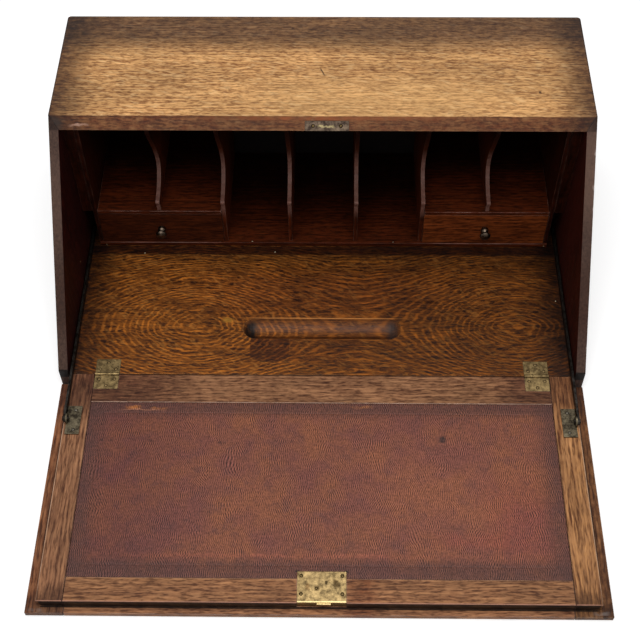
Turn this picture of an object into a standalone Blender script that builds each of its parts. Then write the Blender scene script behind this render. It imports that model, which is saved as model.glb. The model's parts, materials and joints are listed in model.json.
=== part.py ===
"""Table-top writing bureau with a sloping fall front, in metres, +Z up.

The origin is the middle of the carcass's underside. +X is on the right of someone sitting
at the bureau and +Y runs to its back. The fall is modelled open and level, as it is used.
"""

import math

import bmesh
import bpy
from mathutils import Matrix, Vector, geometry

# Joinery: the gap between touching pieces, and how far edges are eased
GAP = 0.0003
EASE = 0.0005
WORN_EASE = 0.0010
EASE_LIMIT = math.radians(40)

# Carcass
WIDTH = 0.610
CARCASS_DEPTH = 0.360
BOARD = 0.011
TOP_T = 0.0126
BACK_T = 0.008
FLOOR_T = 0.019
INNER_HEIGHT = 0.2159
SLOPE = math.radians(47.5)
FOOT_FRONT = 0.0045
CORNER_R = 0.0045
CORNER_FLATS = 3

# Pen groove in the floor, a cove with round ends
GROOVE_LENGTH = 0.1895
GROOVE_WIDTH = 0.0302
GROOVE_DEPTH = 0.0095
GROOVE_FROM_HINGE = 0.0666
GROOVE_STEPS = 56
GROOVE_END_STEPS = 7

# Fall: a rebated frame round a panel that carries the leather
FALL_T = 0.0185
REBATE_DEPTH = 0.0117
SWING_CLEARANCE = 0.0012
LIP = 0.0083
LIP_START = 0.007
FIELD_CLEARANCE = 0.0015
STILE_W = 0.0275
HINGE_RAIL_W = 0.0385
FRONT_RAIL_W = 0.027
LEATHER_T = 0.001
LEATHER_SINK = 0.0003

# Butt hinges
HINGE_LENGTH = 0.028
HINGE_LEAF = 0.0205
HINGE_LEAF_T = 0.0013
HINGE_FROM_STILE = 0.0003
KNUCKLE_R = 0.0021
PIN_R = 0.0010
PIN_CLEARANCE = 0.0002
KNUCKLES = 3
ROUND_STEPS = 24

# Countersunk holes for wood screws, and where they are in each plate
SCREW_HEAD_R = 0.0022
SCREW_SHANK_R = 0.0011
SCREW_STEPS = 16
HINGE_SCREW_FROM_END = 0.0050
HINGE_SCREW_FROM_PIN = 0.0070
HINGE_SCREW_FROM_EDGE = 0.0047
LOCK_SCREW_FROM_SIDE = 0.0040
LOCK_SCREW_FROM_BACK = 0.0045
LOCK_SCREW_FROM_FRONT = 0.0093
STRIKE_SCREW_FROM_SIDE = 0.0090
BRACKET_SCREW_FROM_END = 0.0055

# Lock on the fall and its strike on the top
LOCK_X = 0.0032
LOCK_W = 0.051
LOCK_DEPTH = 0.034
LOCK_PLATE_T = 0.0015
LOCK_SETBACK = 0.0008
SELVEDGE_H = 0.0100
CASE_W = 0.038
CASE_DEPTH = 0.028
CASE_H = 0.0078
CASE_WALL = 0.0010
BOLT_FROM_LOCK = 0.0022
BOLT_W = 0.015
BOLT_T = 0.003
BOLT_LENGTH = 0.017
BOLT_CLEARANCE = 0.0003
BOLT_SHOWS = 0.0006
BOLT_THROW = 0.0085
TALON_R = 0.0028
KEYHOLE_R = 0.0030
KEYHOLE_SLOT_W = 0.0030
KEYHOLE_SLOT_L = 0.0085
KEYHOLE_FROM_FRONT = 0.0160
STRIKE_W = 0.0490
STRIKE_T = 0.0012
STRIKE_FACE_H = 0.0108
STRIKE_UNDER = 0.0165
STRIKE_SLOT_W = 0.020
STRIKE_SLOT_START = 0.005
STRIKE_SLOT_DEPTH = 0.0095
MORTISE_DEPTH = 0.004

# Pigeonhole unit
UNIT_BEHIND_TOP = 0.01255
UNIT_BASE_T = 0.0063
UNIT_SETBACK = 0.0015
DIVIDER_T = 0.0047
DIVIDER_PITCH = 0.081
DIVIDER_SETBACK = 0.0035
NOSE_HEIGHT = 0.0825
NOSE_DROP = 0.0060
NOSE_ROUND = 0.0025
SCOOP_DEPTH = 0.043
SCOOP_HEIGHT = 0.107
SCOOP_BELOW_TOP = 0.0229
FALL_TO_DIVIDER = 0.003
CURVE_STEPS = 9
END_T = 0.0047
POCKET_W = 0.0127
POCKET_COVER_T = 0.010
DRAWER_OPENING_H = 0.0524
SHELF_T = 0.005

# Drawers and their turned knobs
DRAWER_GAP = 0.0005
DRAWER_FRONT_T = 0.008
DRAWER_SIDE_T = 0.005
DRAWER_SIDE_CLEARANCE = 0.0012
DRAWER_SIDE_DROP = 0.006
DRAWER_BACK_CLEARANCE = 0.006
DRAWER_BOTTOM_T = 0.003
DRAWER_BOTTOM_LIFT = 0.004
DRAWER_GROOVE = 0.002
DRAWER_HOUSING = 0.003
KNOB_R = 0.0067
KNOB_NECK_R = 0.0030
KNOB_FOOT_R = 0.0048
KNOB_LENGTH = 0.0145
KNOB_HEAD = 0.0075
KNOB_FOOT_T = 0.0018
KNOB_ARC_STEPS = 7
SPINDLE_R = 0.0022
SPINDLE_BORE = 0.0026

# Stays that hold the fall level
STAY_FROM_HINGE = 0.064
STAY_LENGTH = 0.290
STAY_H = 0.008
STAY_T = 0.0025
STAY_LIFT = 0.0047
STAY_WALL_GAP = 0.0018
STAY_SIDE_GAP = 0.0004
BRACKET_LENGTH = 0.037
BRACKET_W = 0.0160
BRACKET_T = 0.0014
EAR_T = 0.0018
EAR_R = 0.0060
RIVET_R = 0.0016
RIVET_HEAD_R = 0.0030
RIVET_HEAD_T = 0.0008
RIVET_CLEARANCE = 0.0002
END_ARC_STEPS = 10

# Cutters reach this far past the faces that they cut
PAST = 0.002

# Places worked out from the sizes above
HALF = WIDTH / 2
INNER_X = HALF - BOARD
BACK_Y = CARCASS_DEPTH / 2
HINGE_Y = -CARCASS_DEPTH / 2
BACK_FACE_Y = BACK_Y - BACK_T
FLOOR_Z = FLOOR_T
CEILING_Z = FLOOR_Z + INNER_HEIGHT
TOP_Z = CEILING_Z + TOP_T
SLOPE_OFFSET = REBATE_DEPTH - GAP
FIELD_X = INNER_X - FIELD_CLEARANCE
STILE_X = FIELD_X - STILE_W
UNIT_BASE_Z = FLOOR_Z + GAP
UNIT_FLOOR_Z = UNIT_BASE_Z + UNIT_BASE_T
SHELF_Z = UNIT_FLOOR_Z + DRAWER_OPENING_H
SHELF_TOP_Z = SHELF_Z + SHELF_T
CENTRE_DIVIDER_X = DIVIDER_PITCH / 2
BAY_DIVIDER_X = CENTRE_DIVIDER_X + DIVIDER_PITCH
END_X = INNER_X - POCKET_W
BOLT_X = LOCK_X + BOLT_FROM_LOCK
STAY_X = INNER_X - STAY_WALL_GAP - STAY_T
EAR_X = STAY_X - STAY_SIDE_GAP
STAY_PIVOT_Y = HINGE_Y - STAY_FROM_HINGE
STAY_PIVOT_Z = FLOOR_Z + STAY_LIFT

SIDES = {"left": -1, "right": 1}

# Local axes of an outline drawn in a plane: its first axis, its second axis, its thickness
PLANES = {
    "YZ": ((0, 1, 0), (0, 0, 1), (1, 0, 0)),
    "XY": ((1, 0, 0), (0, 1, 0), (0, 0, 1)),
}


def slope_y(z):
    """Where the sloping front of the sides and top is at height z, parallel to the shut fall."""
    rise = (z - FLOOR_Z) / math.tan(SLOPE)
    return HINGE_Y + rise - SLOPE_OFFSET / math.sin(SLOPE)


# The pigeonholes stand just behind the lower front edge of the top
UNIT_FRONT_Y = slope_y(CEILING_Z) + UNIT_BEHIND_TOP

# The field of the fall swings in just under the same edge
FIELD_REACH = math.hypot(slope_y(CEILING_Z) - HINGE_Y, INNER_HEIGHT) - SWING_CLEARANCE
FALL_REACH = FIELD_REACH + LIP
FIELD_FRONT_Y = HINGE_Y - FIELD_REACH
LOCK_FRONT_Y = FIELD_FRONT_Y + LOCK_SETBACK
BOLT_TOP_Z = FLOOR_Z - LOCK_PLATE_T - BOLT_CLEARANCE


def linear(channel):
    """One sRGB channel, 0 to 1, as linear light."""
    if channel <= 0.04045:
        return channel / 12.92
    return ((channel + 0.055) / 1.055) ** 2.4


def finish(name, colour, roughness, metallic=0.0):
    """A Principled material from a six-digit sRGB colour."""
    material = bpy.data.materials.new(name)
    material.use_nodes = True
    shader = material.node_tree.nodes["Principled BSDF"]
    channels = [linear(int(colour[i : i + 2], 16) / 255) for i in (0, 2, 4)]
    shader.inputs["Base Color"].default_value = (*channels, 1.0)
    shader.inputs["Roughness"].default_value = roughness
    shader.inputs["Metallic"].default_value = metallic
    return material


def clear_scene():
    for obj in list(bpy.data.objects):
        bpy.data.objects.remove(obj)


def new_collection(name):
    made = bpy.data.collections.new(name)
    bpy.context.scene.collection.children.link(made)
    return made


clear_scene()
PARTS = new_collection("writing_bureau")
CUTTERS = new_collection("cutters")

TOP_OAK = finish("waxed_top_oak", "9A6B3C", 0.45)
CARCASS_OAK = finish("carcass_oak", "6E4A30", 0.5)
FLOOR_OAK = finish("figured_floor_oak", "5F3A1C", 0.45)
INSIDE_OAK = finish("dark_inside_oak", "4A2A19", 0.5)
FALL_OAK = finish("fall_frame_oak", "70472A", 0.5)
LEATHER = finish("maroon_skiver", "5E2D24", 0.55)
BRASS = finish("aged_brass", "8E7A45", 0.42, 1.0)
STEEL = finish("dull_steel", "5C5650", 0.5, 1.0)


def keep(name, mesh, material, matrix):
    """Puts a mesh into the scene as a named piece, or as a cutter where it has no material."""
    obj = bpy.data.objects.new(name, mesh)
    obj.matrix_world = matrix
    if material is None:
        CUTTERS.objects.link(obj)
        obj.hide_render = True
        obj.display_type = "WIRE"
        return obj
    PARTS.objects.link(obj)
    mesh.materials.append(material)
    return obj


def mesh_from(bm, name):
    bmesh.ops.recalc_face_normals(bm, faces=bm.faces)
    mesh = bpy.data.meshes.new(name)
    bm.to_mesh(mesh)
    bm.free()
    return mesh


def ease_edges(obj, width, segments=2):
    bevel = obj.modifiers.new("eased_edges", "BEVEL")
    bevel.width = width
    bevel.segments = segments
    bevel.limit_method = "ANGLE"
    bevel.angle_limit = EASE_LIMIT
    return obj


def block(name, x, y, z, material=None, ease=EASE):
    """A squared piece from its (low, high) along each axis."""
    spans = [sorted(span) for span in (x, y, z)]
    bm = bmesh.new()
    bmesh.ops.create_cube(bm, size=1.0)
    bmesh.ops.scale(bm, vec=[high - low for low, high in spans], verts=bm.verts)
    centre = Vector([(low + high) / 2 for low, high in spans])
    obj = keep(name, mesh_from(bm, name), material, Matrix.Translation(centre))
    if material is not None and ease:
        ease_edges(obj, ease)
    return obj


def rod(name, radius, x, y, z, material=None):
    """A round rod along X, from its (low, high) in x."""
    low, high = sorted(x)
    bm = bmesh.new()
    bmesh.ops.create_cone(
        bm,
        cap_ends=True,
        segments=ROUND_STEPS,
        radius1=radius,
        radius2=radius,
        depth=high - low,
    )
    place = Matrix.Translation(((low + high) / 2, y, z))
    along_x = Matrix.Rotation(math.pi / 2, 4, "Y")
    mesh = mesh_from(bm, name)
    mesh.shade_smooth()
    mesh.set_sharp_from_angle(angle=EASE_LIMIT)
    return keep(name, mesh, material, place @ along_x)


def prism(name, outline, plane, span, material=None, ease=0.0):
    """A flat outline, filled and given thickness along the third axis of its plane."""
    low, high = sorted(span)
    curve = bpy.data.curves.new(name, "CURVE")
    curve.dimensions = "2D"
    curve.fill_mode = "BOTH"
    curve.extrude = (high - low) / 2
    spline = curve.splines.new("POLY")
    spline.points.add(len(outline) - 1)
    for point, (first, second) in zip(spline.points, outline):
        point.co = (first, second, 0.0, 1.0)
    spline.use_cyclic_u = True
    drawn = bpy.data.objects.new(name + "_outline", curve)
    bpy.context.scene.collection.objects.link(drawn)
    graph = bpy.context.evaluated_depsgraph_get()
    filled = bpy.data.meshes.new_from_object(drawn.evaluated_get(graph))
    bpy.data.objects.remove(drawn)
    bm = bmesh.new()
    bm.from_mesh(filled)
    bmesh.ops.remove_doubles(bm, verts=bm.verts, dist=GAP / 100)
    axes = [Vector(axis) for axis in PLANES[plane]]
    turn = Matrix(axes).transposed().to_4x4()
    place = Matrix.Translation(axes[2] * (low + high) / 2)
    obj = keep(name, mesh_from(bm, name), material, place @ turn)
    if ease:
        ease_edges(obj, ease)
    return obj


def turned(name, profile, place, material=None, steps=ROUND_STEPS):
    """A (radius, height) profile, top to bottom, turned about the Z axis of place."""
    mesh = bpy.data.meshes.new(name)
    points = [(radius, 0.0, height) for radius, height in profile]
    mesh.from_pydata(points, [(i, i + 1) for i in range(len(points) - 1)], [])
    obj = keep(name, mesh, material, place)
    screw = obj.modifiers.new("turned", "SCREW")
    screw.steps = steps
    screw.render_steps = steps
    screw.use_merge_vertices = True
    screw.merge_threshold = GAP / 30
    screw.use_smooth_shade = True
    return obj


def cut(obj, cutter, operation="DIFFERENCE"):
    boolean = obj.modifiers.new(cutter.name, "BOOLEAN")
    boolean.operation = operation
    boolean.object = cutter
    boolean.solver = "EXACT"
    return obj


def trim(obj, point, normal):
    """Saws off what lies on the normal's side of a plane, and closes the end."""
    to_local = obj.matrix_basis.inverted()
    bm = bmesh.new()
    bm.from_mesh(obj.data)
    bmesh.ops.bisect_plane(
        bm,
        geom=[*bm.verts, *bm.edges, *bm.faces],
        plane_co=to_local @ Vector(point),
        plane_no=to_local.to_3x3() @ Vector(normal),
        clear_outer=True,
    )
    rim = [edge for edge in bm.edges if edge.is_boundary]
    bmesh.ops.holes_fill(bm, edges=rim)
    bmesh.ops.recalc_face_normals(bm, faces=bm.faces)
    bm.to_mesh(obj.data)
    bm.free()


def drill(obj, face, thickness, spots):
    """Countersunk holes, drilled down the -Z of face at each (x, y) on it."""
    through = -thickness - PAST
    profile = [
        (0.0, PAST),
        (SCREW_HEAD_R + PAST, PAST),
        (SCREW_SHANK_R, SCREW_SHANK_R - SCREW_HEAD_R),
        (SCREW_SHANK_R, through),
        (0.0, through),
    ]
    for i, (x, y) in enumerate(spots):
        place = face @ Matrix.Translation((x, y, 0.0))
        cut(obj, turned(f"{obj.name}_screw_hole_{i}", profile, place, steps=SCREW_STEPS))
    return obj


def axis_empty(name, place):
    empty = bpy.data.objects.new(name, None)
    empty.location = place
    PARTS.objects.link(empty)
    return empty


def hang(pieces, empty):
    """Parents the pieces to an empty on their joint's axis, where they are."""
    for piece in pieces:
        piece.parent = empty
        piece.matrix_parent_inverse = Matrix.Translation(empty.location).inverted()


def arc(centre, radius, start, end, steps):
    """Points on a round stretch of an outline, from one angle to another."""
    angles = [start + (end - start) * i / steps for i in range(steps + 1)]
    return [
        (centre[0] + radius * math.cos(a), centre[1] + radius * math.sin(a))
        for a in angles
    ]


def curve_points(start, start_handle, end_handle, end):
    """Points on a drawn curve between two knots, without its first knot."""
    knots = [Vector((*p, 0.0)) for p in (start, start_handle, end_handle, end)]
    made = geometry.interpolate_bezier(*knots, CURVE_STEPS)
    return [(p.x, p.y) for p in made[1:]]


def mitre(obj, side, keep_side):
    """Cuts one corner where the top meets a side; both boards lose half the gap."""
    toward_top = Vector((-side * TOP_T, 0.0, BOARD)).normalized()
    corner = Vector((side * HALF, 0.0, TOP_Z))
    sign = 1 if keep_side == "side" else -1
    trim(obj, corner - toward_top * sign * GAP / 2, toward_top * sign)


def round_back_corner(obj, side):
    """Takes off a board's upright back corner with flats round a quarter circle."""
    centre = Vector((side * (HALF - CORNER_R), BACK_Y - CORNER_R, 0.0))
    for i in range(CORNER_FLATS):
        angle = (i + 0.5) / CORNER_FLATS * math.pi / 2
        normal = Vector((side * math.cos(angle), math.sin(angle), 0.0))
        trim(obj, centre + normal * CORNER_R, normal)


def make_side(name, side):
    """A side board: upright foot, sloping front and a mitre under the top."""
    foot_y = HINGE_Y - FOOT_FRONT
    foot_z = FLOOR_Z + (SLOPE_OFFSET / math.sin(SLOPE) - FOOT_FRONT) * math.tan(SLOPE)
    outline = [
        (foot_y, 0.0),
        (BACK_Y, 0.0),
        (BACK_Y, TOP_Z),
        (slope_y(TOP_Z), TOP_Z),
        (foot_y, foot_z),
    ]
    obj = prism(name, outline, "YZ", (side * INNER_X, side * HALF), CARCASS_OAK)
    mitre(obj, side, "side")
    round_back_corner(obj, side)
    return ease_edges(obj, EASE)


def strike_outline(room=0.0):
    """The strike's angle in section: a leg up the front face and one along the underside."""
    up = Vector((math.cos(SLOPE), math.sin(SLOPE)))
    inward = Vector((math.sin(SLOPE), -math.cos(SLOPE)))
    corner = Vector((slope_y(CEILING_Z), CEILING_Z))
    face_end = corner + up * (STRIKE_FACE_H + room)
    thick = STRIKE_T + room
    under_end = corner.x + STRIKE_UNDER + room
    bend = thick / math.sin(SLOPE) + thick / math.tan(SLOPE)
    points = [
        corner - inward * room - Vector((room, room)),
        Vector((under_end, CEILING_Z - room)),
        Vector((under_end, CEILING_Z + thick)),
        Vector((corner.x + bend, CEILING_Z + thick)),
        face_end + inward * thick,
        face_end - inward * room,
    ]
    return [tuple(p) for p in points]


def make_top():
    outline = [
        (slope_y(CEILING_Z), CEILING_Z),
        (BACK_Y, CEILING_Z),
        (BACK_Y, TOP_Z),
        (slope_y(TOP_Z), TOP_Z),
    ]
    top = prism("top_board", outline, "YZ", (-HALF, HALF), TOP_OAK)
    for side in SIDES.values():
        mitre(top, side, "top")
        round_back_corner(top, side)
    ease_edges(top, WORN_EASE)
    half = STRIKE_W / 2 + GAP
    recess = prism(
        "strike_recess", strike_outline(GAP), "YZ", (BOLT_X - half, BOLT_X + half)
    )
    cut(top, recess)
    mortise = block(
        "bolt_mortise",
        strike_slot_x(),
        strike_slot_y(),
        (CEILING_Z - PAST, CEILING_Z + MORTISE_DEPTH),
    )
    return cut(top, mortise)


def strike_slot_x():
    return (BOLT_X - STRIKE_SLOT_W / 2, BOLT_X + STRIKE_SLOT_W / 2)


def strike_slot_y():
    start = slope_y(CEILING_Z) + STRIKE_SLOT_START
    return (start, start + STRIKE_SLOT_DEPTH)


def make_strike():
    half = STRIKE_W / 2
    strike = prism(
        "strike_plate", strike_outline(), "YZ", (BOLT_X - half, BOLT_X + half), BRASS
    )
    slot = block(
        "strike_slot",
        strike_slot_x(),
        strike_slot_y(),
        (CEILING_Z - PAST, CEILING_Z + STRIKE_T + PAST),
    )
    cut(strike, slot)
    corner = Matrix.Translation((BOLT_X, slope_y(CEILING_Z), CEILING_Z))
    face = corner @ Matrix.Rotation(SLOPE, 4, "X")
    reach = half - STRIKE_SCREW_FROM_SIDE
    spots = [(side * reach, STRIKE_FACE_H / 2) for side in SIDES.values()]
    return drill(strike, face, STRIKE_T, spots)


def hinge_x(side):
    """The ends of a hinge along X: it lies just inside the stile's joint."""
    outer = STILE_X - GAP - HINGE_FROM_STILE
    return (side * (outer - HINGE_LENGTH), side * outer)


def hinge_room(name, side, toward):
    """Cutters for one leaf and for its half of the barrel; toward is +1 on the floor."""
    low, high = sorted(hinge_x(side))
    across = (low - GAP, high + GAP)
    leaf = block(
        name + "_leaf_housing",
        across,
        (HINGE_Y - toward * PAST, HINGE_Y + toward * (HINGE_LEAF + GAP)),
        (FLOOR_Z - HINGE_LEAF_T - GAP, FLOOR_Z + PAST),
    )
    barrel = block(
        name + "_barrel_housing",
        across,
        (HINGE_Y - toward * PAST, HINGE_Y + toward * (KNUCKLE_R + GAP)),
        (FLOOR_Z - KNUCKLE_R - GAP, FLOOR_Z + PAST),
    )
    return [leaf, barrel]


def groove_profile():
    """A capsule: the ball-nosed cutter that sinks the pen groove, run along its length."""
    radius = (GROOVE_WIDTH**2 / 4 + GROOVE_DEPTH**2) / (2 * GROOVE_DEPTH)
    run = (GROOVE_LENGTH - GROOVE_WIDTH) / 2
    quarter = math.pi / 2
    upper = arc((0.0, run), radius, quarter, 0.0, GROOVE_END_STEPS)
    lower = arc((0.0, -run), radius, 0.0, -quarter, GROOVE_END_STEPS)
    return radius, upper + lower


def make_floor():
    floor = block(
        "floor_board",
        (-INNER_X + GAP, INNER_X - GAP),
        (HINGE_Y + GAP, BACK_FACE_Y - GAP),
        (0.0, FLOOR_Z),
        FLOOR_OAK,
    )
    radius, profile = groove_profile()
    centre = (0.0, HINGE_Y + GROOVE_FROM_HINGE, FLOOR_Z - GROOVE_DEPTH + radius)
    along_x = Matrix.Rotation(math.pi / 2, 4, "Y")
    place = Matrix.Translation(centre) @ along_x
    cut(floor, turned("pen_groove", profile, place, steps=GROOVE_STEPS))
    for word, side in SIDES.items():
        for cutter in hinge_room("floor_" + word, side, 1):
            cut(floor, cutter)
    return floor


def make_carcass():
    make_top()
    make_strike()
    for word, side in SIDES.items():
        make_side("side_" + word, side)
    make_floor()
    block(
        "back_panel",
        (-INNER_X + GAP, INNER_X - GAP),
        (BACK_FACE_Y, BACK_Y),
        (0.0, CEILING_Z - GAP),
        CARCASS_OAK,
    )


def divider_outline(foot_z):
    """A divider's side view: nosed foot, deep scoop, and a top that clears the shut fall."""
    front = UNIT_FRONT_Y + DIVIDER_SETBACK
    back = BACK_FACE_Y - GAP
    shut_fall = HINGE_Y + INNER_HEIGHT / math.tan(SLOPE)
    top_front = max(shut_fall + FALL_TO_DIVIDER, front)
    nose_z = FLOOR_Z + NOSE_HEIGHT
    nose_foot_z = nose_z - NOSE_DROP
    deep = (max(UNIT_FRONT_Y + SCOOP_DEPTH, top_front), FLOOR_Z + SCOOP_HEIGHT)
    scoop_top = (top_front, CEILING_Z - SCOOP_BELOW_TOP)
    tip = (UNIT_FRONT_Y, nose_z - NOSE_ROUND)
    lip = (UNIT_FRONT_Y + NOSE_ROUND, nose_z)
    rise = deep[1] - nose_z
    fall = scoop_top[1] - deep[1]
    points = [(front, foot_z), (front, nose_foot_z - NOSE_ROUND)]
    points += curve_points(
        points[-1],
        (front, nose_foot_z),
        (UNIT_FRONT_Y, nose_foot_z),
        (UNIT_FRONT_Y, nose_foot_z + NOSE_ROUND),
    )
    points.append(tip)
    points += curve_points(tip, (tip[0], lip[1]), lip, lip)
    points += curve_points(
        lip,
        ((lip[0] + 2 * deep[0]) / 3, nose_z),
        (deep[0], deep[1] - rise / 2),
        deep,
    )
    points += curve_points(
        deep,
        (deep[0], deep[1] + fall / 4),
        ((2 * top_front + deep[0]) / 3, scoop_top[1] - fall / 3),
        scoop_top,
    )
    ceiling = CEILING_Z - GAP
    return points + [(top_front, ceiling), (back, ceiling), (back, foot_z)]


def bay_x():
    """The drawer bay's faces: the inner divider's outer face and the end panel's inner face."""
    return (BAY_DIVIDER_X + DIVIDER_T / 2, END_X - END_T)


def make_divider(name, x, foot_z):
    span = (x - DIVIDER_T / 2, x + DIVIDER_T / 2)
    prism(name, divider_outline(foot_z), "YZ", span, INSIDE_OAK)


def make_unit():
    front = UNIT_FRONT_Y + UNIT_SETBACK
    back = BACK_FACE_Y - GAP
    ceiling = CEILING_Z - GAP
    block(
        "unit_base",
        (-END_X, END_X),
        (UNIT_FRONT_Y, back),
        (UNIT_BASE_Z, UNIT_FLOOR_Z),
        INSIDE_OAK,
    )
    stand_z = UNIT_FLOOR_Z + GAP
    bay_in, bay_out = bay_x()
    for word, side in SIDES.items():
        end = (side * (END_X - END_T), side * END_X)
        block("unit_end_" + word, end, (front, back), (stand_z, ceiling), INSIDE_OAK)
        block(
            "stay_pocket_cover_" + word,
            (side * (END_X + GAP), side * (INNER_X - GAP)),
            (front, front + POCKET_COVER_T),
            (SHELF_TOP_Z, ceiling),
            INSIDE_OAK,
        )
        block(
            "drawer_shelf_" + word,
            (side * (bay_in + GAP), side * (bay_out - GAP)),
            (front, back),
            (SHELF_Z, SHELF_TOP_Z),
            INSIDE_OAK,
        )
        middle = side * (bay_in + bay_out) / 2
        make_divider("divider_outer_" + word, middle, SHELF_TOP_Z + GAP)
        make_divider("divider_bay_" + word, side * BAY_DIVIDER_X, stand_z)
        make_divider("divider_centre_" + word, side * CENTRE_DIVIDER_X, stand_z)


def knob_profile():
    """A small turned knob: a ball head, a waist, a foot ring and the spindle behind it."""
    ball_z = KNOB_LENGTH - KNOB_HEAD / 2
    flat = KNOB_HEAD / 2 / KNOB_R
    head = [
        (radius, ball_z + flat * height)
        for radius, height in arc(
            (0.0, 0.0), KNOB_R, math.pi / 2, -math.acos(KNOB_NECK_R / KNOB_R), KNOB_ARC_STEPS
        )
    ]
    return head + [
        (KNOB_NECK_R, KNOB_FOOT_T * 2),
        (KNOB_FOOT_R, KNOB_FOOT_T),
        (KNOB_FOOT_R, GAP),
        (SPINDLE_R, GAP),
        (SPINDLE_R, GAP - DRAWER_FRONT_T),
        (0.0, GAP - DRAWER_FRONT_T),
    ]


def make_drawer(word, side):
    """A drawer: a front with the sides housed in it, back, grooved-in bottom and knob."""
    bay_in, bay_out = bay_x()
    x_in = bay_in + DRAWER_GAP
    x_out = bay_out - DRAWER_GAP
    front = UNIT_FRONT_Y + UNIT_SETBACK
    behind = front + DRAWER_FRONT_T
    low = UNIT_FLOOR_Z + GAP
    high = SHELF_Z - DRAWER_GAP
    tail = BACK_FACE_Y - DRAWER_BACK_CLEARANCE
    side_top = high - DRAWER_SIDE_DROP
    prefix = f"drawer_{word}_"

    face = block(
        prefix + "front", (side * x_in, side * x_out), (front, behind), (low, high), INSIDE_OAK
    )
    wall_in = x_in + DRAWER_SIDE_CLEARANCE
    wall_out = x_out - DRAWER_SIDE_CLEARANCE
    run = (behind - DRAWER_HOUSING, tail)
    walls = [
        block(
            prefix + "side_inner",
            (side * wall_in, side * (wall_in + DRAWER_SIDE_T)),
            run,
            (low, side_top),
            INSIDE_OAK,
        ),
        block(
            prefix + "side_outer",
            (side * (wall_out - DRAWER_SIDE_T), side * wall_out),
            run,
            (low, side_top),
            INSIDE_OAK,
        ),
    ]
    room_in = wall_in + DRAWER_SIDE_T + GAP
    room_out = wall_out - DRAWER_SIDE_T - GAP
    bottom_z = low + DRAWER_BOTTOM_LIFT
    bottom_top = bottom_z + DRAWER_BOTTOM_T
    rear = block(
        prefix + "back",
        (side * room_in, side * room_out),
        (tail - DRAWER_SIDE_T, tail),
        (bottom_top + GAP, side_top),
        INSIDE_OAK,
    )
    sink = DRAWER_GROOVE + GAP
    floor_x = (side * (room_in - sink), side * (room_out + sink))
    floor_y = (behind - DRAWER_GROOVE, tail)
    groove = block(
        prefix + "bottom_groove",
        (side * (room_in - sink - GAP), side * (room_out + sink + GAP)),
        (behind - DRAWER_GROOVE - GAP, tail + PAST),
        (bottom_z - GAP, bottom_top + GAP),
    )
    for piece in [face, *walls]:
        cut(piece, groove)
    for i, edge in enumerate((wall_in, wall_out - DRAWER_SIDE_T)):
        housing = block(
            f"{prefix}side_housing_{i}",
            (side * (edge - GAP), side * (edge + DRAWER_SIDE_T + GAP)),
            (run[0] - GAP, behind + PAST),
            (low - PAST, side_top + GAP),
        )
        cut(face, housing)
    bottom = block(
        prefix + "bottom", floor_x, floor_y, (bottom_z, bottom_top), INSIDE_OAK, ease=0.0
    )

    middle = side * (x_in + x_out) / 2
    knob_z = (low + high) / 2
    out = Matrix.Translation((middle, front, knob_z)) @ Matrix.Rotation(math.pi / 2, 4, "X")
    knob = turned(prefix + "knob", knob_profile(), out, BRASS)
    bore_profile = [
        (0.0, DRAWER_FRONT_T),
        (SPINDLE_BORE, DRAWER_FRONT_T),
        (SPINDLE_BORE, -DRAWER_FRONT_T - PAST),
        (0.0, -DRAWER_FRONT_T - PAST),
    ]
    cut(face, turned(prefix + "knob_bore", bore_profile, out))
    empty = axis_empty(prefix + "slide", (middle, front, knob_z))
    hang([face, *walls, rear, bottom, knob], empty)


def fall_y(near, far):
    """A span in front of the hinge line, as (low, high) in y."""
    return (HINGE_Y - far, HINGE_Y - near)


def fall_z(shallow, deep):
    """A span below the face of the open fall, as (low, high) in z."""
    return (FLOOR_Z - deep, FLOOR_Z - shallow)


def front_rebate():
    """The rebate along the front of the fall, where it laps over the top's edge."""
    return block(
        "fall_front_rebate",
        (-WIDTH, WIDTH),
        fall_y(FIELD_REACH, FALL_REACH + PAST),
        fall_z(-PAST, REBATE_DEPTH),
    )


def make_stile(word, side, rebate):
    stile = block(
        "fall_stile_" + word,
        (side * STILE_X, side * HALF),
        fall_y(GAP, FALL_REACH),
        fall_z(0.0, FALL_T),
        FALL_OAK,
    )
    outer = (side * FIELD_X, side * (HALF + PAST))
    side_rebate = block(
        f"fall_{word}_rebate",
        outer,
        fall_y(-PAST, FALL_REACH + PAST),
        fall_z(-PAST, REBATE_DEPTH),
    )
    foot_notch = block(
        f"fall_{word}_foot_notch", outer, fall_y(-PAST, LIP_START), fall_z(-PAST, FALL_T + PAST)
    )
    for cutter in (rebate, side_rebate, foot_notch):
        cut(stile, cutter)
    return stile


def lock_rooms():
    """Cutters for the lock: the plate's sinking and the case's mortise behind it."""
    half = LOCK_W / 2 + GAP
    plate = block(
        "lock_plate_sinking",
        (LOCK_X - half, LOCK_X + half),
        (FIELD_FRONT_Y - PAST, LOCK_FRONT_Y + LOCK_DEPTH + GAP),
        fall_z(-PAST, LOCK_PLATE_T + GAP),
    )
    selvedge = block(
        "lock_selvedge_sinking",
        (LOCK_X - half, LOCK_X + half),
        (FIELD_FRONT_Y - PAST, LOCK_FRONT_Y + LOCK_PLATE_T + GAP),
        fall_z(-PAST, SELVEDGE_H + GAP),
    )
    half = CASE_W / 2 + GAP
    case = block(
        "lock_case_mortise",
        (LOCK_X - half, LOCK_X + half),
        (FIELD_FRONT_Y - PAST, LOCK_FRONT_Y + LOCK_PLATE_T + CASE_DEPTH + 2 * GAP),
        fall_z(-PAST, LOCK_PLATE_T + CASE_H + 2 * GAP),
    )
    return [plate, selvedge, case]


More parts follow.
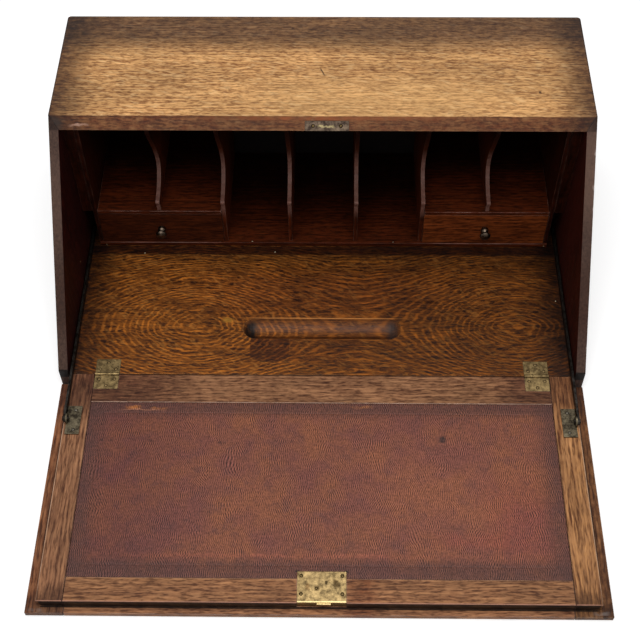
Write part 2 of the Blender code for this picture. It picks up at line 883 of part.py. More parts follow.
def keyhole():
    """A keyhole cutter through the outside of the fall: a round eye and a slot below it."""
    eye_y = FIELD_FRONT_Y + KEYHOLE_FROM_FRONT
    half = KEYHOLE_SLOT_W / 2
    meet = math.acos(half / KEYHOLE_R)
    outline = arc(
        (LOCK_X, eye_y), KEYHOLE_R, math.pi - meet, 2 * math.pi + meet, ROUND_STEPS
    )
    end = eye_y + KEYHOLE_SLOT_L
    outline += [(LOCK_X + half, end), (LOCK_X - half, end)]
    deep = LOCK_PLATE_T + CASE_H - CASE_WALL - PAST
    return prism("keyhole", outline, "XY", fall_z(deep, FALL_T + PAST))


def make_fall_frame():
    rebate = front_rebate()
    stiles = [make_stile(word, side, rebate) for word, side in SIDES.items()]
    rail_x = (-STILE_X + GAP, STILE_X - GAP)
    hinge_rail = block(
        "fall_hinge_rail",
        rail_x,
        fall_y(GAP, HINGE_RAIL_W),
        fall_z(0.0, FALL_T),
        FALL_OAK,
    )
    for word, side in SIDES.items():
        for cutter in hinge_room("fall_" + word, side, -1):
            cut(hinge_rail, cutter)
    panel_y = fall_y(HINGE_RAIL_W + GAP, FIELD_REACH - FRONT_RAIL_W - GAP)
    front_rail = block(
        "fall_front_rail",
        rail_x,
        fall_y(FIELD_REACH - FRONT_RAIL_W, FALL_REACH),
        fall_z(0.0, FALL_T),
        FALL_OAK,
    )
    cut(front_rail, rebate)
    leather_foot = LEATHER_SINK + LEATHER_T
    panel = block(
        "fall_panel", rail_x, panel_y, fall_z(leather_foot + GAP, FALL_T), FALL_OAK
    )
    leather = block(
        "leather_skiver",
        rail_x,
        panel_y,
        fall_z(LEATHER_SINK, leather_foot),
        LEATHER,
        ease=0.0,
    )
    rooms = lock_rooms()
    for piece in (front_rail, panel, leather):
        for room in rooms:
            cut(piece, room)
    key = keyhole()
    cut(front_rail, key)
    return [*stiles, hinge_rail, front_rail, panel, leather], key


def make_lock(key):
    """Plate with its selvedge, case, and the bolt that slides out of it."""
    x = (LOCK_X - LOCK_W / 2, LOCK_X + LOCK_W / 2)
    back = LOCK_FRONT_Y + LOCK_DEPTH
    inner_y = LOCK_FRONT_Y + LOCK_PLATE_T
    plate_z = FLOOR_Z - LOCK_PLATE_T
    angle = [
        (LOCK_FRONT_Y, FLOOR_Z),
        (LOCK_FRONT_Y, FLOOR_Z - SELVEDGE_H),
        (inner_y, FLOOR_Z - SELVEDGE_H),
        (inner_y, plate_z),
        (back, plate_z),
        (back, FLOOR_Z),
    ]
    plate = prism("lock_plate", angle, "YZ", x, BRASS)
    bolt_half = BOLT_W / 2
    bolt_x = (BOLT_X - bolt_half, BOLT_X + bolt_half)
    slot = block(
        "bolt_slot",
        (bolt_x[0] - BOLT_CLEARANCE, bolt_x[1] + BOLT_CLEARANCE),
        (LOCK_FRONT_Y - PAST, inner_y + PAST),
        (BOLT_TOP_Z - BOLT_T - BOLT_CLEARANCE, BOLT_TOP_Z + BOLT_CLEARANCE),
    )
    cut(plate, slot)
    reach = LOCK_W / 2 - LOCK_SCREW_FROM_SIDE
    rows = (LOCK_FRONT_Y + LOCK_SCREW_FROM_FRONT, back - LOCK_SCREW_FROM_BACK)
    spots = [(LOCK_X + side * reach, y) for side in SIDES.values() for y in rows]
    drill(plate, Matrix.Translation((0.0, 0.0, FLOOR_Z)), LOCK_PLATE_T, spots)
    half = CASE_W / 2
    case_y = (inner_y + GAP, inner_y + GAP + CASE_DEPTH)
    case_z = (plate_z - GAP - CASE_H, plate_z - GAP)
    case = block("lock_case", (LOCK_X - half, LOCK_X + half), case_y, case_z, STEEL, ease=0.0)
    hollow = block(
        "lock_case_hollow",
        (LOCK_X - half + CASE_WALL, LOCK_X + half - CASE_WALL),
        (case_y[0] - PAST, case_y[1] - CASE_WALL),
        (case_z[0] + CASE_WALL, case_z[1] + PAST),
    )
    cut(case, hollow)
    cut(case, key)
    tip = FIELD_FRONT_Y - BOLT_SHOWS
    bolt = block(
        "lock_bolt", bolt_x, (tip, tip + BOLT_LENGTH), (BOLT_TOP_Z - BOLT_T, BOLT_TOP_Z), BRASS
    )
    talon = block(
        "bolt_talon",
        (BOLT_X - TALON_R, BOLT_X + TALON_R),
        (tip + BOLT_LENGTH - TALON_R, tip + BOLT_LENGTH + PAST),
        (BOLT_TOP_Z - BOLT_T - PAST, BOLT_TOP_Z + PAST),
    )
    cut(bolt, talon)
    slide = axis_empty("lock_bolt_slide", (BOLT_X, tip, BOLT_TOP_Z - BOLT_T / 2))
    hang([bolt], slide)
    return [plate, case], slide


def make_leaf(name, side, toward, knuckles):
    """One hinge leaf with its share of the knuckles; toward is +1 on the floor."""
    low, high = sorted(hinge_x(side))
    step = (high - low) / KNUCKLES
    clear = KNUCKLE_R + GAP
    leaf_z = (FLOOR_Z - HINGE_LEAF_T, FLOOR_Z)
    leaf = block(
        name,
        (low, high),
        (HINGE_Y + toward * clear, HINGE_Y + toward * HINGE_LEAF),
        leaf_z,
        BRASS,
        ease=0.0,
    )
    for i in knuckles:
        span = (low + i * step + GAP / 2, low + (i + 1) * step - GAP / 2)
        web = block(
            f"{name}_web_{i}", span, (HINGE_Y, HINGE_Y + toward * (clear + PAST)), leaf_z
        )
        cut(leaf, web, "UNION")
        barrel = rod(f"{name}_barrel_{i}", KNUCKLE_R, span, HINGE_Y, FLOOR_Z)
        cut(leaf, barrel, "UNION")
    bore = rod(
        name + "_bore", PIN_R + PIN_CLEARANCE, (low - PAST, high + PAST), HINGE_Y, FLOOR_Z
    )
    cut(leaf, bore)
    middle = (low + high) / 2
    reach = HINGE_LENGTH / 2 - HINGE_SCREW_FROM_END
    near = HINGE_Y + toward * HINGE_SCREW_FROM_PIN
    far = HINGE_Y + toward * (HINGE_LEAF - HINGE_SCREW_FROM_EDGE)
    spots = [(middle - reach, near), (middle + reach, near), (middle, far)]
    return drill(leaf, Matrix.Translation((0.0, 0.0, FLOOR_Z)), HINGE_LEAF_T, spots)


def make_hinge(word, side):
    """A butt hinge: floor leaf with the outer knuckles, fall leaf between them, and a pin."""
    own = range(0, KNUCKLES, 2)
    others = range(1, KNUCKLES, 2)
    make_leaf(f"hinge_{word}_floor_leaf", side, 1, own)
    leaf = make_leaf(f"hinge_{word}_fall_leaf", side, -1, others)
    rod(f"hinge_{word}_pin", PIN_R, hinge_x(side), HINGE_Y, FLOOR_Z, BRASS)
    return leaf


def stadium(near, far, z, half):
    """A bar with round ends, in side view."""
    quarter = math.pi / 2
    return arc((far, z), half, -quarter, quarter, END_ARC_STEPS) + arc(
        (near, z), half, quarter, 3 * quarter, END_ARC_STEPS
    )


def rivet_profile(shank):
    """A rivet with two flat heads, from its outer head down to its inner one."""
    head = RIVET_HEAD_T
    return [
        (0.0, shank + head),
        (RIVET_HEAD_R, shank + head),
        (RIVET_HEAD_R, shank),
        (RIVET_R, shank),
        (RIVET_R, 0.0),
        (RIVET_HEAD_R, 0.0),
        (RIVET_HEAD_R, -head),
        (0.0, -head),
    ]


def make_stay(word, side):
    """Bracket on the stile, rivet, and the flat bar that runs back into its pocket."""
    hole_r = RIVET_R + RIVET_CLEARANCE
    bracket_z = FLOOR_Z + GAP
    bracket = block(
        "stay_bracket_" + word,
        (side * (EAR_X - BRACKET_W), side * EAR_X),
        (STAY_PIVOT_Y - BRACKET_LENGTH / 2, STAY_PIVOT_Y + BRACKET_LENGTH / 2),
        (bracket_z, bracket_z + BRACKET_T),
        STEEL,
        ease=0.0,
    )
    quarter = math.pi / 2
    ear_outline = arc(
        (STAY_PIVOT_Y, STAY_PIVOT_Z), EAR_R, 0.0, 2 * quarter, END_ARC_STEPS
    ) + [
        (STAY_PIVOT_Y - EAR_R, bracket_z),
        (STAY_PIVOT_Y + EAR_R, bracket_z),
    ]
    ear_x = (side * (EAR_X - EAR_T), side * EAR_X)
    cut(bracket, prism(f"stay_{word}_ear", ear_outline, "YZ", ear_x), "UNION")
    span = (side * (EAR_X - EAR_T - PAST), side * (EAR_X + PAST))
    cut(bracket, rod(f"stay_{word}_ear_hole", hole_r, span, STAY_PIVOT_Y, STAY_PIVOT_Z))
    flat = BRACKET_W - EAR_T
    reach = BRACKET_LENGTH / 2 - BRACKET_SCREW_FROM_END
    spots = [(side * (EAR_X - EAR_T - flat / 2), STAY_PIVOT_Y + way * reach) for way in (-1, 1)]
    plate_top = Matrix.Translation((0.0, 0.0, bracket_z + BRACKET_T))
    drill(bracket, plate_top, BRACKET_T, spots)

    bar_x = (side * STAY_X, side * (STAY_X + STAY_T))
    outline = stadium(
        STAY_PIVOT_Y, STAY_PIVOT_Y + STAY_LENGTH, STAY_PIVOT_Z, STAY_H / 2
    )
    bar = prism("stay_bar_" + word, outline, "YZ", bar_x, STEEL)
    span = (side * (STAY_X - STAY_SIDE_GAP / 2), side * (STAY_X + STAY_T + PAST))
    cut(bar, rod(f"stay_{word}_bar_hole", hole_r, span, STAY_PIVOT_Y, STAY_PIVOT_Z))

    start = EAR_X - EAR_T - GAP
    shank = STAY_X + STAY_T + GAP - start
    outward = Matrix.Rotation(side * quarter, 4, "Y")
    place = Matrix.Translation((side * start, STAY_PIVOT_Y, STAY_PIVOT_Z)) @ outward
    rivet = turned("stay_rivet_" + word, rivet_profile(shank), place, STEEL)
    pivot = axis_empty(f"stay_{word}_pivot", (side * STAY_X, STAY_PIVOT_Y, STAY_PIVOT_Z))
    hang([bar], pivot)
    return [bracket, rivet], pivot


def make_fall():
    """The fall and everything that swings with it, on an empty at the hinge axis."""
    pieces, key = make_fall_frame()
    lock, bolt_slide = make_lock(key)
    carried = [*pieces, *lock, bolt_slide]
    for word, side in SIDES.items():
        carried.append(make_hinge(word, side))
        held, pivot = make_stay(word, side)
        carried += [*held, pivot]
    hang(carried, axis_empty("fall_hinge", (0.0, HINGE_Y, FLOOR_Z)))


def build():
    make_carcass()
    make_unit()
    for word, side in SIDES.items():
        make_drawer(word, side)
    make_fall()


build()
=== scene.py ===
"""Dresses a table-top writing bureau: oak carcass and fall, leather, brass and small fittings.

It is laid out as an add-on, with one operator for each piece or group of like pieces, and is run
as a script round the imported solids. Lengths are in metres, +Z up, in the frame of the solids,
apart from those whose comment says mm.
"""

import json
import math
from typing import NamedTuple

import bmesh
import bpy
import numpy as np
from mathutils import Matrix, Vector


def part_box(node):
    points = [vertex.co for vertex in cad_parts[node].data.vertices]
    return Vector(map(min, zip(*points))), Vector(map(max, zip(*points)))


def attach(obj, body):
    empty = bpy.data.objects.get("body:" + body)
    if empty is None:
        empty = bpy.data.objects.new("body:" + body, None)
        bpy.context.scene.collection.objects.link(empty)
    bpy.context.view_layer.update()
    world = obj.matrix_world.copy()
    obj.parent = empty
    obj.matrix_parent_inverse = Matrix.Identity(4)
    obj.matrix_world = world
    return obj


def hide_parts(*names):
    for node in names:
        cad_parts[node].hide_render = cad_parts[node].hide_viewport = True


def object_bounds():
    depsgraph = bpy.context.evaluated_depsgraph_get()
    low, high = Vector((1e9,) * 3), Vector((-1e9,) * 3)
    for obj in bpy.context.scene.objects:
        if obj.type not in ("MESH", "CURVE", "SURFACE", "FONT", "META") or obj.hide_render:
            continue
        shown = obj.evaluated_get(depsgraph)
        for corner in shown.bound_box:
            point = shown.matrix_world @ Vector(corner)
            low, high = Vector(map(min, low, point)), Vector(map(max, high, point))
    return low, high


bl_info = {
    "name": "Writing bureau looks",
    "version": (1, 0, 0),
    "blender": (4, 5, 0),
    "location": "View3D > Sidebar > Bureau",
    "description": "Gives the bureau its oak, leather and brass, and adds its small fittings",
    "category": "Object",
}

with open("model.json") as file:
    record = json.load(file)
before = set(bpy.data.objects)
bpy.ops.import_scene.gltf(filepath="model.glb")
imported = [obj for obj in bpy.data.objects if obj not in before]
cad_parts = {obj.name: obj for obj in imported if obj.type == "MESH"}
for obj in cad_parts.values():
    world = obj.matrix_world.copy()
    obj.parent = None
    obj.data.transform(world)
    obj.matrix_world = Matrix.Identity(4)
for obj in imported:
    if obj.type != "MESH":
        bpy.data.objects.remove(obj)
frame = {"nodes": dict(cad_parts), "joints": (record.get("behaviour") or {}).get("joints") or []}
NODES = frame["nodes"]
CAD_BOUNDS = [list(corner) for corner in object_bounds()]
HINGE = Vector(next(j["pos_m"] for j in frame["joints"] if j["name"] == "fall_hinge"))

MM = 0.001
SIDES = {"left": -1, "right": 1}
UNTURNED = (0.0, 0.0, 0.0)

# The slope that the shut fall, the sides' fronts and the top's front edge share
SLOPE = math.radians(47.5)
SLOPE_FACING = (0.0, -math.sin(SLOPE), math.cos(SLOPE))

# A patch with this half-size, in mm, has no end along that axis
ENDLESS = 10000.0
WHOLE = (ENDLESS, ENDLESS, ENDLESS)
MIDDLE = (0.5, 0.5, 0.5)

# How each kind of patch goes over the finish, and whether its outline is uneven; a stain, wash or mark may
# also be painted shade or a painted highlight
PATCH_KINDS = {
    "stain": ("MULTIPLY", True),
    "wash": ("MULTIPLY", False),
    "smear": ("MIX", True),
    "mark": ("MIX", False),
}

# From the fall's front edge: the painted shade in its rebate, and the arris above that, rubbed and painted
# pale as a highlight, in mm
FRONT_REBATE_SHADE = 7.3
FRONT_ARRIS = 8.3

# Where the photograph was taken from, and how the camera was held
CAMERA_PLACE = (0.0153, -0.9579, 1.1909)
CAMERA_PITCH = math.radians(53.796)
CAMERA_YAW = math.radians(-1.1924)
CAMERA_ROLL = math.radians(-0.657)


def linear(colour):
    """A six-digit sRGB colour as linear red, green and blue."""
    channels = np.array([int(colour[i : i + 2], 16) for i in (0, 2, 4)]) / 255
    bent = ((channels + 0.055) / 1.055) ** 2.4
    return tuple(float(v) for v in np.where(channels <= 0.04045, channels / 12.92, bent))


def colour_setting(name, description, colour):
    """A colour that can be set in the sidebar."""
    return bpy.props.FloatVectorProperty(
        name=name, description=description, subtype="COLOR", min=0, max=1, default=linear(colour)
    )


def length_setting(name, description, default):
    """A length that can be set in the sidebar."""
    return bpy.props.FloatProperty(
        name=name, description=description, unit="LENGTH", subtype="DISTANCE", min=0, default=default
    )


class BureauColours(bpy.types.PropertyGroup):
    """The main colours of the bureau's finishes."""

    top_dark: colour_setting("Top, dark", "Late wood on the top", "7A4A24")
    top_light: colour_setting("Top, light", "Early wood on the worn top", "EAB476")
    carcass_dark: colour_setting("Carcass, dark", "Late wood of the sides and back", "2A1A14")
    carcass_light: colour_setting("Carcass, light", "Early wood of the sides and back", "624A3E")
    floor_dark: colour_setting("Floor, dark", "Late wood inside the bureau", "260A02")
    floor_light: colour_setting("Floor, light", "Early wood inside the bureau", "C07024")
    inside_dark: colour_setting("Pigeonholes, dark", "Late wood of the pigeonholes", "260D04")
    inside_light: colour_setting("Pigeonholes, light", "Early wood of the pigeonholes", "5E260E")
    fall_dark: colour_setting("Fall, dark", "Late wood of the fall's frame", "5E3620")
    fall_light: colour_setting("Fall, light", "Early wood of the fall's frame", "D39B6C")
    leather: colour_setting("Leather", "Field of the writing surface", "844F38")
    brass: colour_setting("Brass", "Rubbed brass", "9C845A")
    tarnish: colour_setting("Tarnish", "Brown-green tarnish on the brass", "574830")
    steel: colour_setting("Steel", "Rubbed steel", "7A746A")
    rust: colour_setting("Steel, dark", "Darkened steel", "2E2824")


class BureauSizes(bpy.types.PropertyGroup):
    """Sizes of the fittings that are added to the solids."""

    screw_radius: length_setting("Screw radius", "Radius of a screw's head", 2.05 * MM)
    screw_sunk: length_setting("Screw sunk", "How far a head lies below its plate", 0.1 * MM)
    pin_radius: length_setting("Pin radius", "Radius of a nail's head", 1.1 * MM)
    blind_line: length_setting("Blind line", "From the leather's edge to its pressed line", 14 * MM)
    lens: bpy.props.FloatProperty(
        name="Lens",
        description="Focal length of the camera on a 36 mm sensor",
        unit="CAMERA",
        default=67.71,
    )


class Cut(NamedTuple):
    """How an oak board was sawn, which gives its figure."""

    grain: int  # the axis that the grain runs along
    rings: float  # from one growth ring to the next on the face
    heart: tuple  # where the rings centre, from the middle of the board
    oval: float  # how many times longer than wide a ring shows
    stray: float  # how far the lines wander across the grain
    shares: tuple  # how much rings, fibres and dashes each show
    fleck: float  # how strongly the rays show
    thin: float = 0.3  # where a ring's pale line starts, 0 to 1
    pore: float = 12.0  # how long a row of pores runs, in mm
    apart: float = 0.0  # how far either way along the grain the eyes lie, or 0 for one heart
    ray_turn: tuple = UNTURNED  # how the rays are turned from the grain


class Tone(NamedTuple):
    """Colours of a board: its wood, its pores, its rays and its rubbed edges, which also stand for the
    highlight an arris catches.
    """

    dark: tuple
    light: tuple
    pore: str
    ray: str
    rubbed: str


class Patch(NamedTuple):
    """A stained, rubbed or dirty place on a piece, or painted shade or a painted highlight on it."""

    kind: str  # one of PATCH_KINDS
    at: tuple  # its middle, in shares of the piece's box
    half: tuple  # its half-sizes, in mm
    colour: str
    strength: float
    edge: tuple = (0.6, 1.2)  # where it fades out, in shares of its half-sizes
    broken: float = 0.4  # how much of it the blotches take away
    turn: tuple = UNTURNED  # how it is turned about the axes
    facing: tuple = ()  # the way that the faces look which show it; all do if this is empty


def fill(tree, node, inputs):
    """Links a node's inputs to sockets, or sets them to values."""
    for key, value in inputs.items():
        if isinstance(value, bpy.types.NodeSocket):
            tree.links.new(value, node.inputs[key])
        else:
            node.inputs[key].default_value = value


def add_node(tree, kind, inputs, outlet=0, **settings):
    """Adds a node, sets it, fills its inputs, and gives one of its outlets."""
    made = tree.nodes.new("ShaderNode" + kind)
    for key, value in settings.items():
        setattr(made, key, value)
    fill(tree, made, inputs)
    return made.outputs[outlet]


def rgba(colour):
    """A colour setting or a hex value, as a socket takes it."""
    return (*(linear(colour) if isinstance(colour, str) else colour), 1.0)


def new_finish(name):
    """An empty Principled material, with its tree, its shader and the piece's own coordinates."""
    material = bpy.data.materials.new(name)
    material.use_nodes = True
    tree = material.node_tree
    place = add_node(tree, "TexCoord", {}, "Object")
    return material, tree, tree.nodes["Principled BSDF"], place


def along(grain, run, across):
    """Three sizes: one along the grain and the same across it both ways."""
    sizes = [across] * 3
    sizes[grain] = run
    return sizes


def box_of(*names):
    """The lowest and highest corner of some nodes together."""
    corners = np.array([[tuple(c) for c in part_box(name)] for name in names])
    return Vector(corners[:, 0].min(0)), Vector(corners[:, 1].max(0))


def share_of(box, x, y, z=None):
    """A point as shares of a box, as a patch takes it. With no z it is on the box's top."""
    low, high = box
    point = (x, y, high.z if z is None else z)
    return tuple((p - l) / (h - l) for p, l, h in zip(point, low, high))


def mottle(tree, place, sizes, detail, outlet=0, rough=0.5, turn=UNTURNED):
    """Cloudy noise whose blotches have about these sizes along the axes, turned."""
    spread = add_node(
        tree, "Mapping", {"Vector": place, "Rotation": turn, "Scale": sizes}, vector_type="TEXTURE"
    )
    inputs = {"Vector": spread, "Scale": 1.0, "Detail": detail, "Roughness": rough}
    return add_node(tree, "TexNoise", inputs, outlet)


def paint(tree, colour, *layers):
    """Lays colours over one another, each by its own share."""
    for share, over in layers:
        colour = add_node(tree, "Mix", {0: share, 6: colour, 7: rgba(over)}, 2, data_type="RGBA")
    return colour


def lay_patches(tree, place, colour, box, patches):
    """Lays stains, wear, painted shade and painted highlights over a colour.

    A patch is the set of points whose fourth-power distance from its middle, measured in its
    half-sizes, is under 1: a block with round corners. An uneven outline is shaken by 9 mm blotches.
    """
    if not patches:
        return colour
    shake = 7 * MM
    blotch = mottle(tree, place, [9 * MM] * 3, 4.0, "Color", 0.65)
    back = add_node(tree, "VectorMath", {0: place, 1: [-shake / 2] * 3})
    shaken = add_node(tree, "VectorMath", {0: blotch, 1: [shake] * 3, 2: back}, operation="MULTIPLY_ADD")
    for patch in patches:
        blend, uneven = PATCH_KINDS[patch.kind]
        away = add_node(
            tree,
            "Mapping",
            {
                "Vector": shaken if uneven else place,
                "Location": [l + share * (h - l) for l, h, share in zip(*box, patch.at)],
                "Rotation": patch.turn,
                "Scale": [size * MM for size in patch.half],
            },
            vector_type="TEXTURE",
        )
        square = add_node(tree, "VectorMath", {0: away, 1: away}, operation="MULTIPLY")
        fourth = add_node(tree, "VectorMath", {0: square, 1: square}, "Value", operation="DOT_PRODUCT")
        far = add_node(tree, "Math", {0: fourth, 1: 0.25}, operation="POWER")
        fade = {"From Min": patch.edge[0], "From Max": patch.edge[1], "To Min": 1.0, "To Max": 0.0}
        inside = add_node(tree, "MapRange", {"Value": far, **fade}, interpolation_type="SMOOTHSTEP")
        held = add_node(
            tree,
            "MapRange",
            {
                "Value": blotch,
                "From Min": 0.62,
                "From Max": 0.38,
                "To Min": patch.strength * (1.0 - patch.broken),
                "To Max": patch.strength,
            },
        )
        share = add_node(tree, "Math", {0: inside, 1: held}, operation="MULTIPLY")
        if patch.facing:
            own = add_node(tree, "NewGeometry", {}, "Normal")
            toward = add_node(
                tree, "VectorMath", {0: own, 1: patch.facing}, "Value", operation="DOT_PRODUCT"
            )
            turned = add_node(tree, "MapRange", {"Value": toward, "From Min": 0.35, "From Max": 0.7})
            share = add_node(tree, "Math", {0: share, 1: turned}, operation="MULTIPLY")
        mixed = {0: share, 6: colour, 7: rgba(patch.colour)}
        colour = add_node(tree, "Mix", mixed, 2, data_type="RGBA", blend_type=blend)
    return colour


def rubbed_and_glinting_edges(tree, place, radius, size, most):
    """How much an edge is rubbed and painted pale as a highlight: where rounding it would turn the face,
    broken by noise.
    """
    rounded = add_node(tree, "Bevel", {"Radius": radius}, samples=6)
    own = add_node(tree, "NewGeometry", {}, "Normal")
    same = add_node(tree, "VectorMath", {0: rounded, 1: own}, "Value", operation="DOT_PRODUCT")
    turned = add_node(
        tree,
        "MapRange",
        {"Value": same, "From Min": 0.985, "From Max": 0.90},
        interpolation_type="SMOOTHSTEP",
    )
    broken = mottle(tree, place, [size] * 3, 3.0)
    kept = add_node(tree, "MapRange", {"Value": broken, "From Min": 0.35, "From Max": 0.6, "To Max": most})
    return add_node(tree, "Math", {0: turned, 1: kept}, operation="MULTIPLY")


def growth_rings(tree, point, middle, cut):
    """The rings of a sawn board, 0 to 1: long ovals round one heart, or round two eyes.

    For two eyes x, along the grain, goes to cos(k x) / k, so that the lines run level between them.
    """
    around = add_node(
        tree,
        "Mapping",
        {
            "Vector": point,
            "Location": middle + Vector(cut.heart),
            "Scale": along(cut.grain, cut.oval, 1.0),
        },
        vector_type="TEXTURE",
    )
    if cut.apart:
        bend = math.pi / 2 * cut.oval / cut.apart
        run, across = (
            add_node(tree, "VectorMath", {0: around, 1: along(cut.grain, *scales)}, operation="MULTIPLY")
            for scales in ((bend, 0.0), (0.0, 1.0))
        )
        wave = add_node(tree, "VectorMath", {0: run}, operation="COSINE")
        bent = {0: wave, 1: along(cut.grain, 1 / bend, 0.0), 2: across}
        around = add_node(tree, "VectorMath", bent, operation="MULTIPLY_ADD")
    return add_node(
        tree,
        "TexWave",
        {
            "Vector": around,
            # a ring wave repeats every 2 pi / 20 of its own unit
            "Scale": 2 * math.pi / 20 / cut.rings,
            "Distortion": 3.2,
            "Detail": 3.0,
            "Detail Scale": 1.1,
            "Detail Roughness": 0.65,
        },
        "Fac",
        wave_type="RINGS",
        rings_direction="SPHERICAL",
    )


def oak(name, box, cut, tone, patches=(), rubbed=0.5, gloss=0.5, sheen=0.3):
    """Oak, sawn, stained and waxed.

    To the eye that is growth rings as long ovals or near-straight lines that come and go, fibres
    along them, short dark pores, pale ray flecks, edges paler where the wax is worn off and painted
    pale as the highlight they catch, and a satin sheen.
    Real pores are 0.3 mm wide; they are drawn about 1 mm wide, because the picture shows no less.
    """
    material, tree, shader, place = new_finish(name)
    grain = cut.grain
    stray = mottle(tree, place, along(grain, 75 * MM, 24 * MM), 4.0, "Color", 0.6)
    wander = {0: stray, 1: along(grain, 0.0, cut.stray), 2: place}
    point = add_node(tree, "VectorMath", wander, operation="MULTIPLY_ADD")
    rings = growth_rings(tree, point, (box[0] + box[1]) / 2, cut)
    # fibres, pores, rays, the fading of the rings and broad clouds: how long, how wide, how fine
    fibre, dash, ray, fade, cloud = (
        mottle(tree, point, along(grain, run * MM, across * MM), detail, rough=0.62, turn=turn)
        for run, across, detail, turn in (
            (55, 2.6, 4.0, UNTURNED),
            (cut.pore, 2.0, 2.0, UNTURNED),
            (14, 3.4, 1.5, cut.ray_turn),
            (40, 12, 2.0, UNTURNED),
            (85, 30, 3.0, UNTURNED),
        )
    )
    faded = add_node(tree, "MapRange", {"Value": fade, "From Min": 0.36, "From Max": 0.62, "To Min": 0.1})
    line = add_node(tree, "MapRange", {"Value": rings, "From Min": cut.thin, "From Max": 0.95})
    figure = add_node(tree, "Math", {0: line, 1: faded}, operation="MULTIPLY")
    figure = add_node(tree, "Math", {0: figure, 1: cut.shares[0]}, operation="MULTIPLY")
    for layer, share in ((fibre, cut.shares[1]), (dash, cut.shares[2])):
        spread = add_node(tree, "MapRange", {"Value": layer, "From Min": 0.4, "From Max": 0.6})
        figure = add_node(tree, "Math", {0: spread, 1: share, 2: figure}, operation="MULTIPLY_ADD")
    rays = add_node(
        tree, "MapRange", {"Value": ray, "From Min": 0.55, "From Max": 0.68, "To Max": cut.fleck}
    )
    pores = add_node(
        tree, "MapRange", {"Value": dash, "From Min": 0.47, "From Max": 0.36, "To Max": 0.5}
    )
    colour = paint(
        tree, rgba(tone.dark), (figure, tone.light), (rays, tone.ray), (pores, tone.pore)
    )
    depth = add_node(
        tree,
        "MapRange",
        {"Value": cloud, "From Min": 0.3, "From Max": 0.7, "To Min": 0.78, "To Max": 1.2},
    )
    colour = add_node(tree, "VectorMath", {0: colour, "Scale": depth}, operation="SCALE")
    # edges paler where the wax is worn off, and painted pale as the highlight an arris catches
    worn = rubbed_and_glinting_edges(tree, place, 1.6 * MM, 11 * MM, rubbed)
    colour = paint(tree, colour, (worn, tone.rubbed))
    rough = {"From Min": 0.3, "From Max": 0.7, "To Min": gloss - 0.08, "To Max": gloss + 0.1}
    height = add_node(tree, "Math", {0: fibre, 1: pores}, operation="SUBTRACT")
    fill(
        tree,
        shader,
        {
            "Base Color": lay_patches(tree, place, colour, box, patches),
            "Roughness": add_node(tree, "MapRange", {"Value": fibre, **rough}),
            "Normal": add_node(
                tree, "Bump", {"Strength": 0.5, "Distance": 0.15 * MM, "Height": height}
            ),
            "Specular IOR Level": sheen,
        },
    )
    return material


def worn_metal(name, box, bright, dull, patches=(), rubbed=0.7, roughness=0.42, bright_share=0.5):
    """Rolled brass or steel, handled for years.

    To the eye that is a yellow or grey metal under cloudy brown tarnish, bright at its edges where
    it is rubbed and where a highlight is painted, with dark pits and fine scratches that blur what it
    mirrors.
    """
    material, tree, shader, place = new_finish(name)
    cloud, pit = (
        mottle(tree, place, [size * MM] * 3, detail, rough=0.65)
        for size, detail in ((6.0, 5.0), (1.6, 3.0))
    )
    # the noise lies mostly between 0.38 and 0.62, and the metal is bright above this value
    bright_from = 0.62 - 0.24 * bright_share
    clean = add_node(
        tree,
        "MapRange",
        {"Value": cloud, "From Min": bright_from - 0.14, "From Max": bright_from + 0.14},
    )
    pits = add_node(
        tree, "MapRange", {"Value": pit, "From Min": 0.56, "From Max": 0.72, "To Max": 0.6}
    )
    colour = paint(tree, rgba(dull), (clean, bright), (pits, "2E2418"))
    colour = lay_patches(tree, place, colour, box, patches)
    # bright edges: the metal is rubbed there, and a highlight is painted along them
    worn = rubbed_and_glinting_edges(tree, place, 0.7 * MM, 5 * MM, rubbed)
    rough = {"From Min": 0.7, "From Max": 0.3, "To Min": roughness - 0.1, "To Max": roughness + 0.12}
    fill(
        tree,
        shader,
        {
            "Base Color": paint(tree, colour, (worn, bright)),
            "Roughness": add_node(tree, "MapRange", {"Value": cloud, **rough}),
            "Normal": add_node(tree, "Bump", {"Strength": 0.4, "Distance": 0.08 * MM, "Height": pit}),
            "Metallic": 1.0,
        },
    )
    return material


def screw_metal(name, bright, dull):
    """Drawn steel for screws, nails and the lock's drill pin.

    To the eye that is a dirty ring round each head, and a brighter rubbed middle. The ring follows
    the head's own 'rim' attribute, which is 0 in its middle and 1 at its edge.
    """
    material, tree, shader, place = new_finish(name)
    rim = add_node(tree, "Attribute", {}, "Fac", attribute_name="rim")
    speck = mottle(tree, place, [1.2 * MM] * 3, 2.0)
    ring = add_node(tree, "Math", {0: speck, 1: 0.5, 2: rim}, operation="MULTIPLY_ADD")
    darkening = add_node(tree, "MapRange", {"Value": ring, "From Min": 0.7, "From Max": 1.05})
    fill(
        tree,
        shader,
        {
            "Base Color": paint(tree, rgba(bright), (darkening, dull)),
            "Roughness": add_node(
                tree, "MapRange", {"Value": ring, "From Min": 0.5, "To Min": 0.4, "To Max": 0.65}
            ),
            "Metallic": 1.0,
        },
    )
    return material


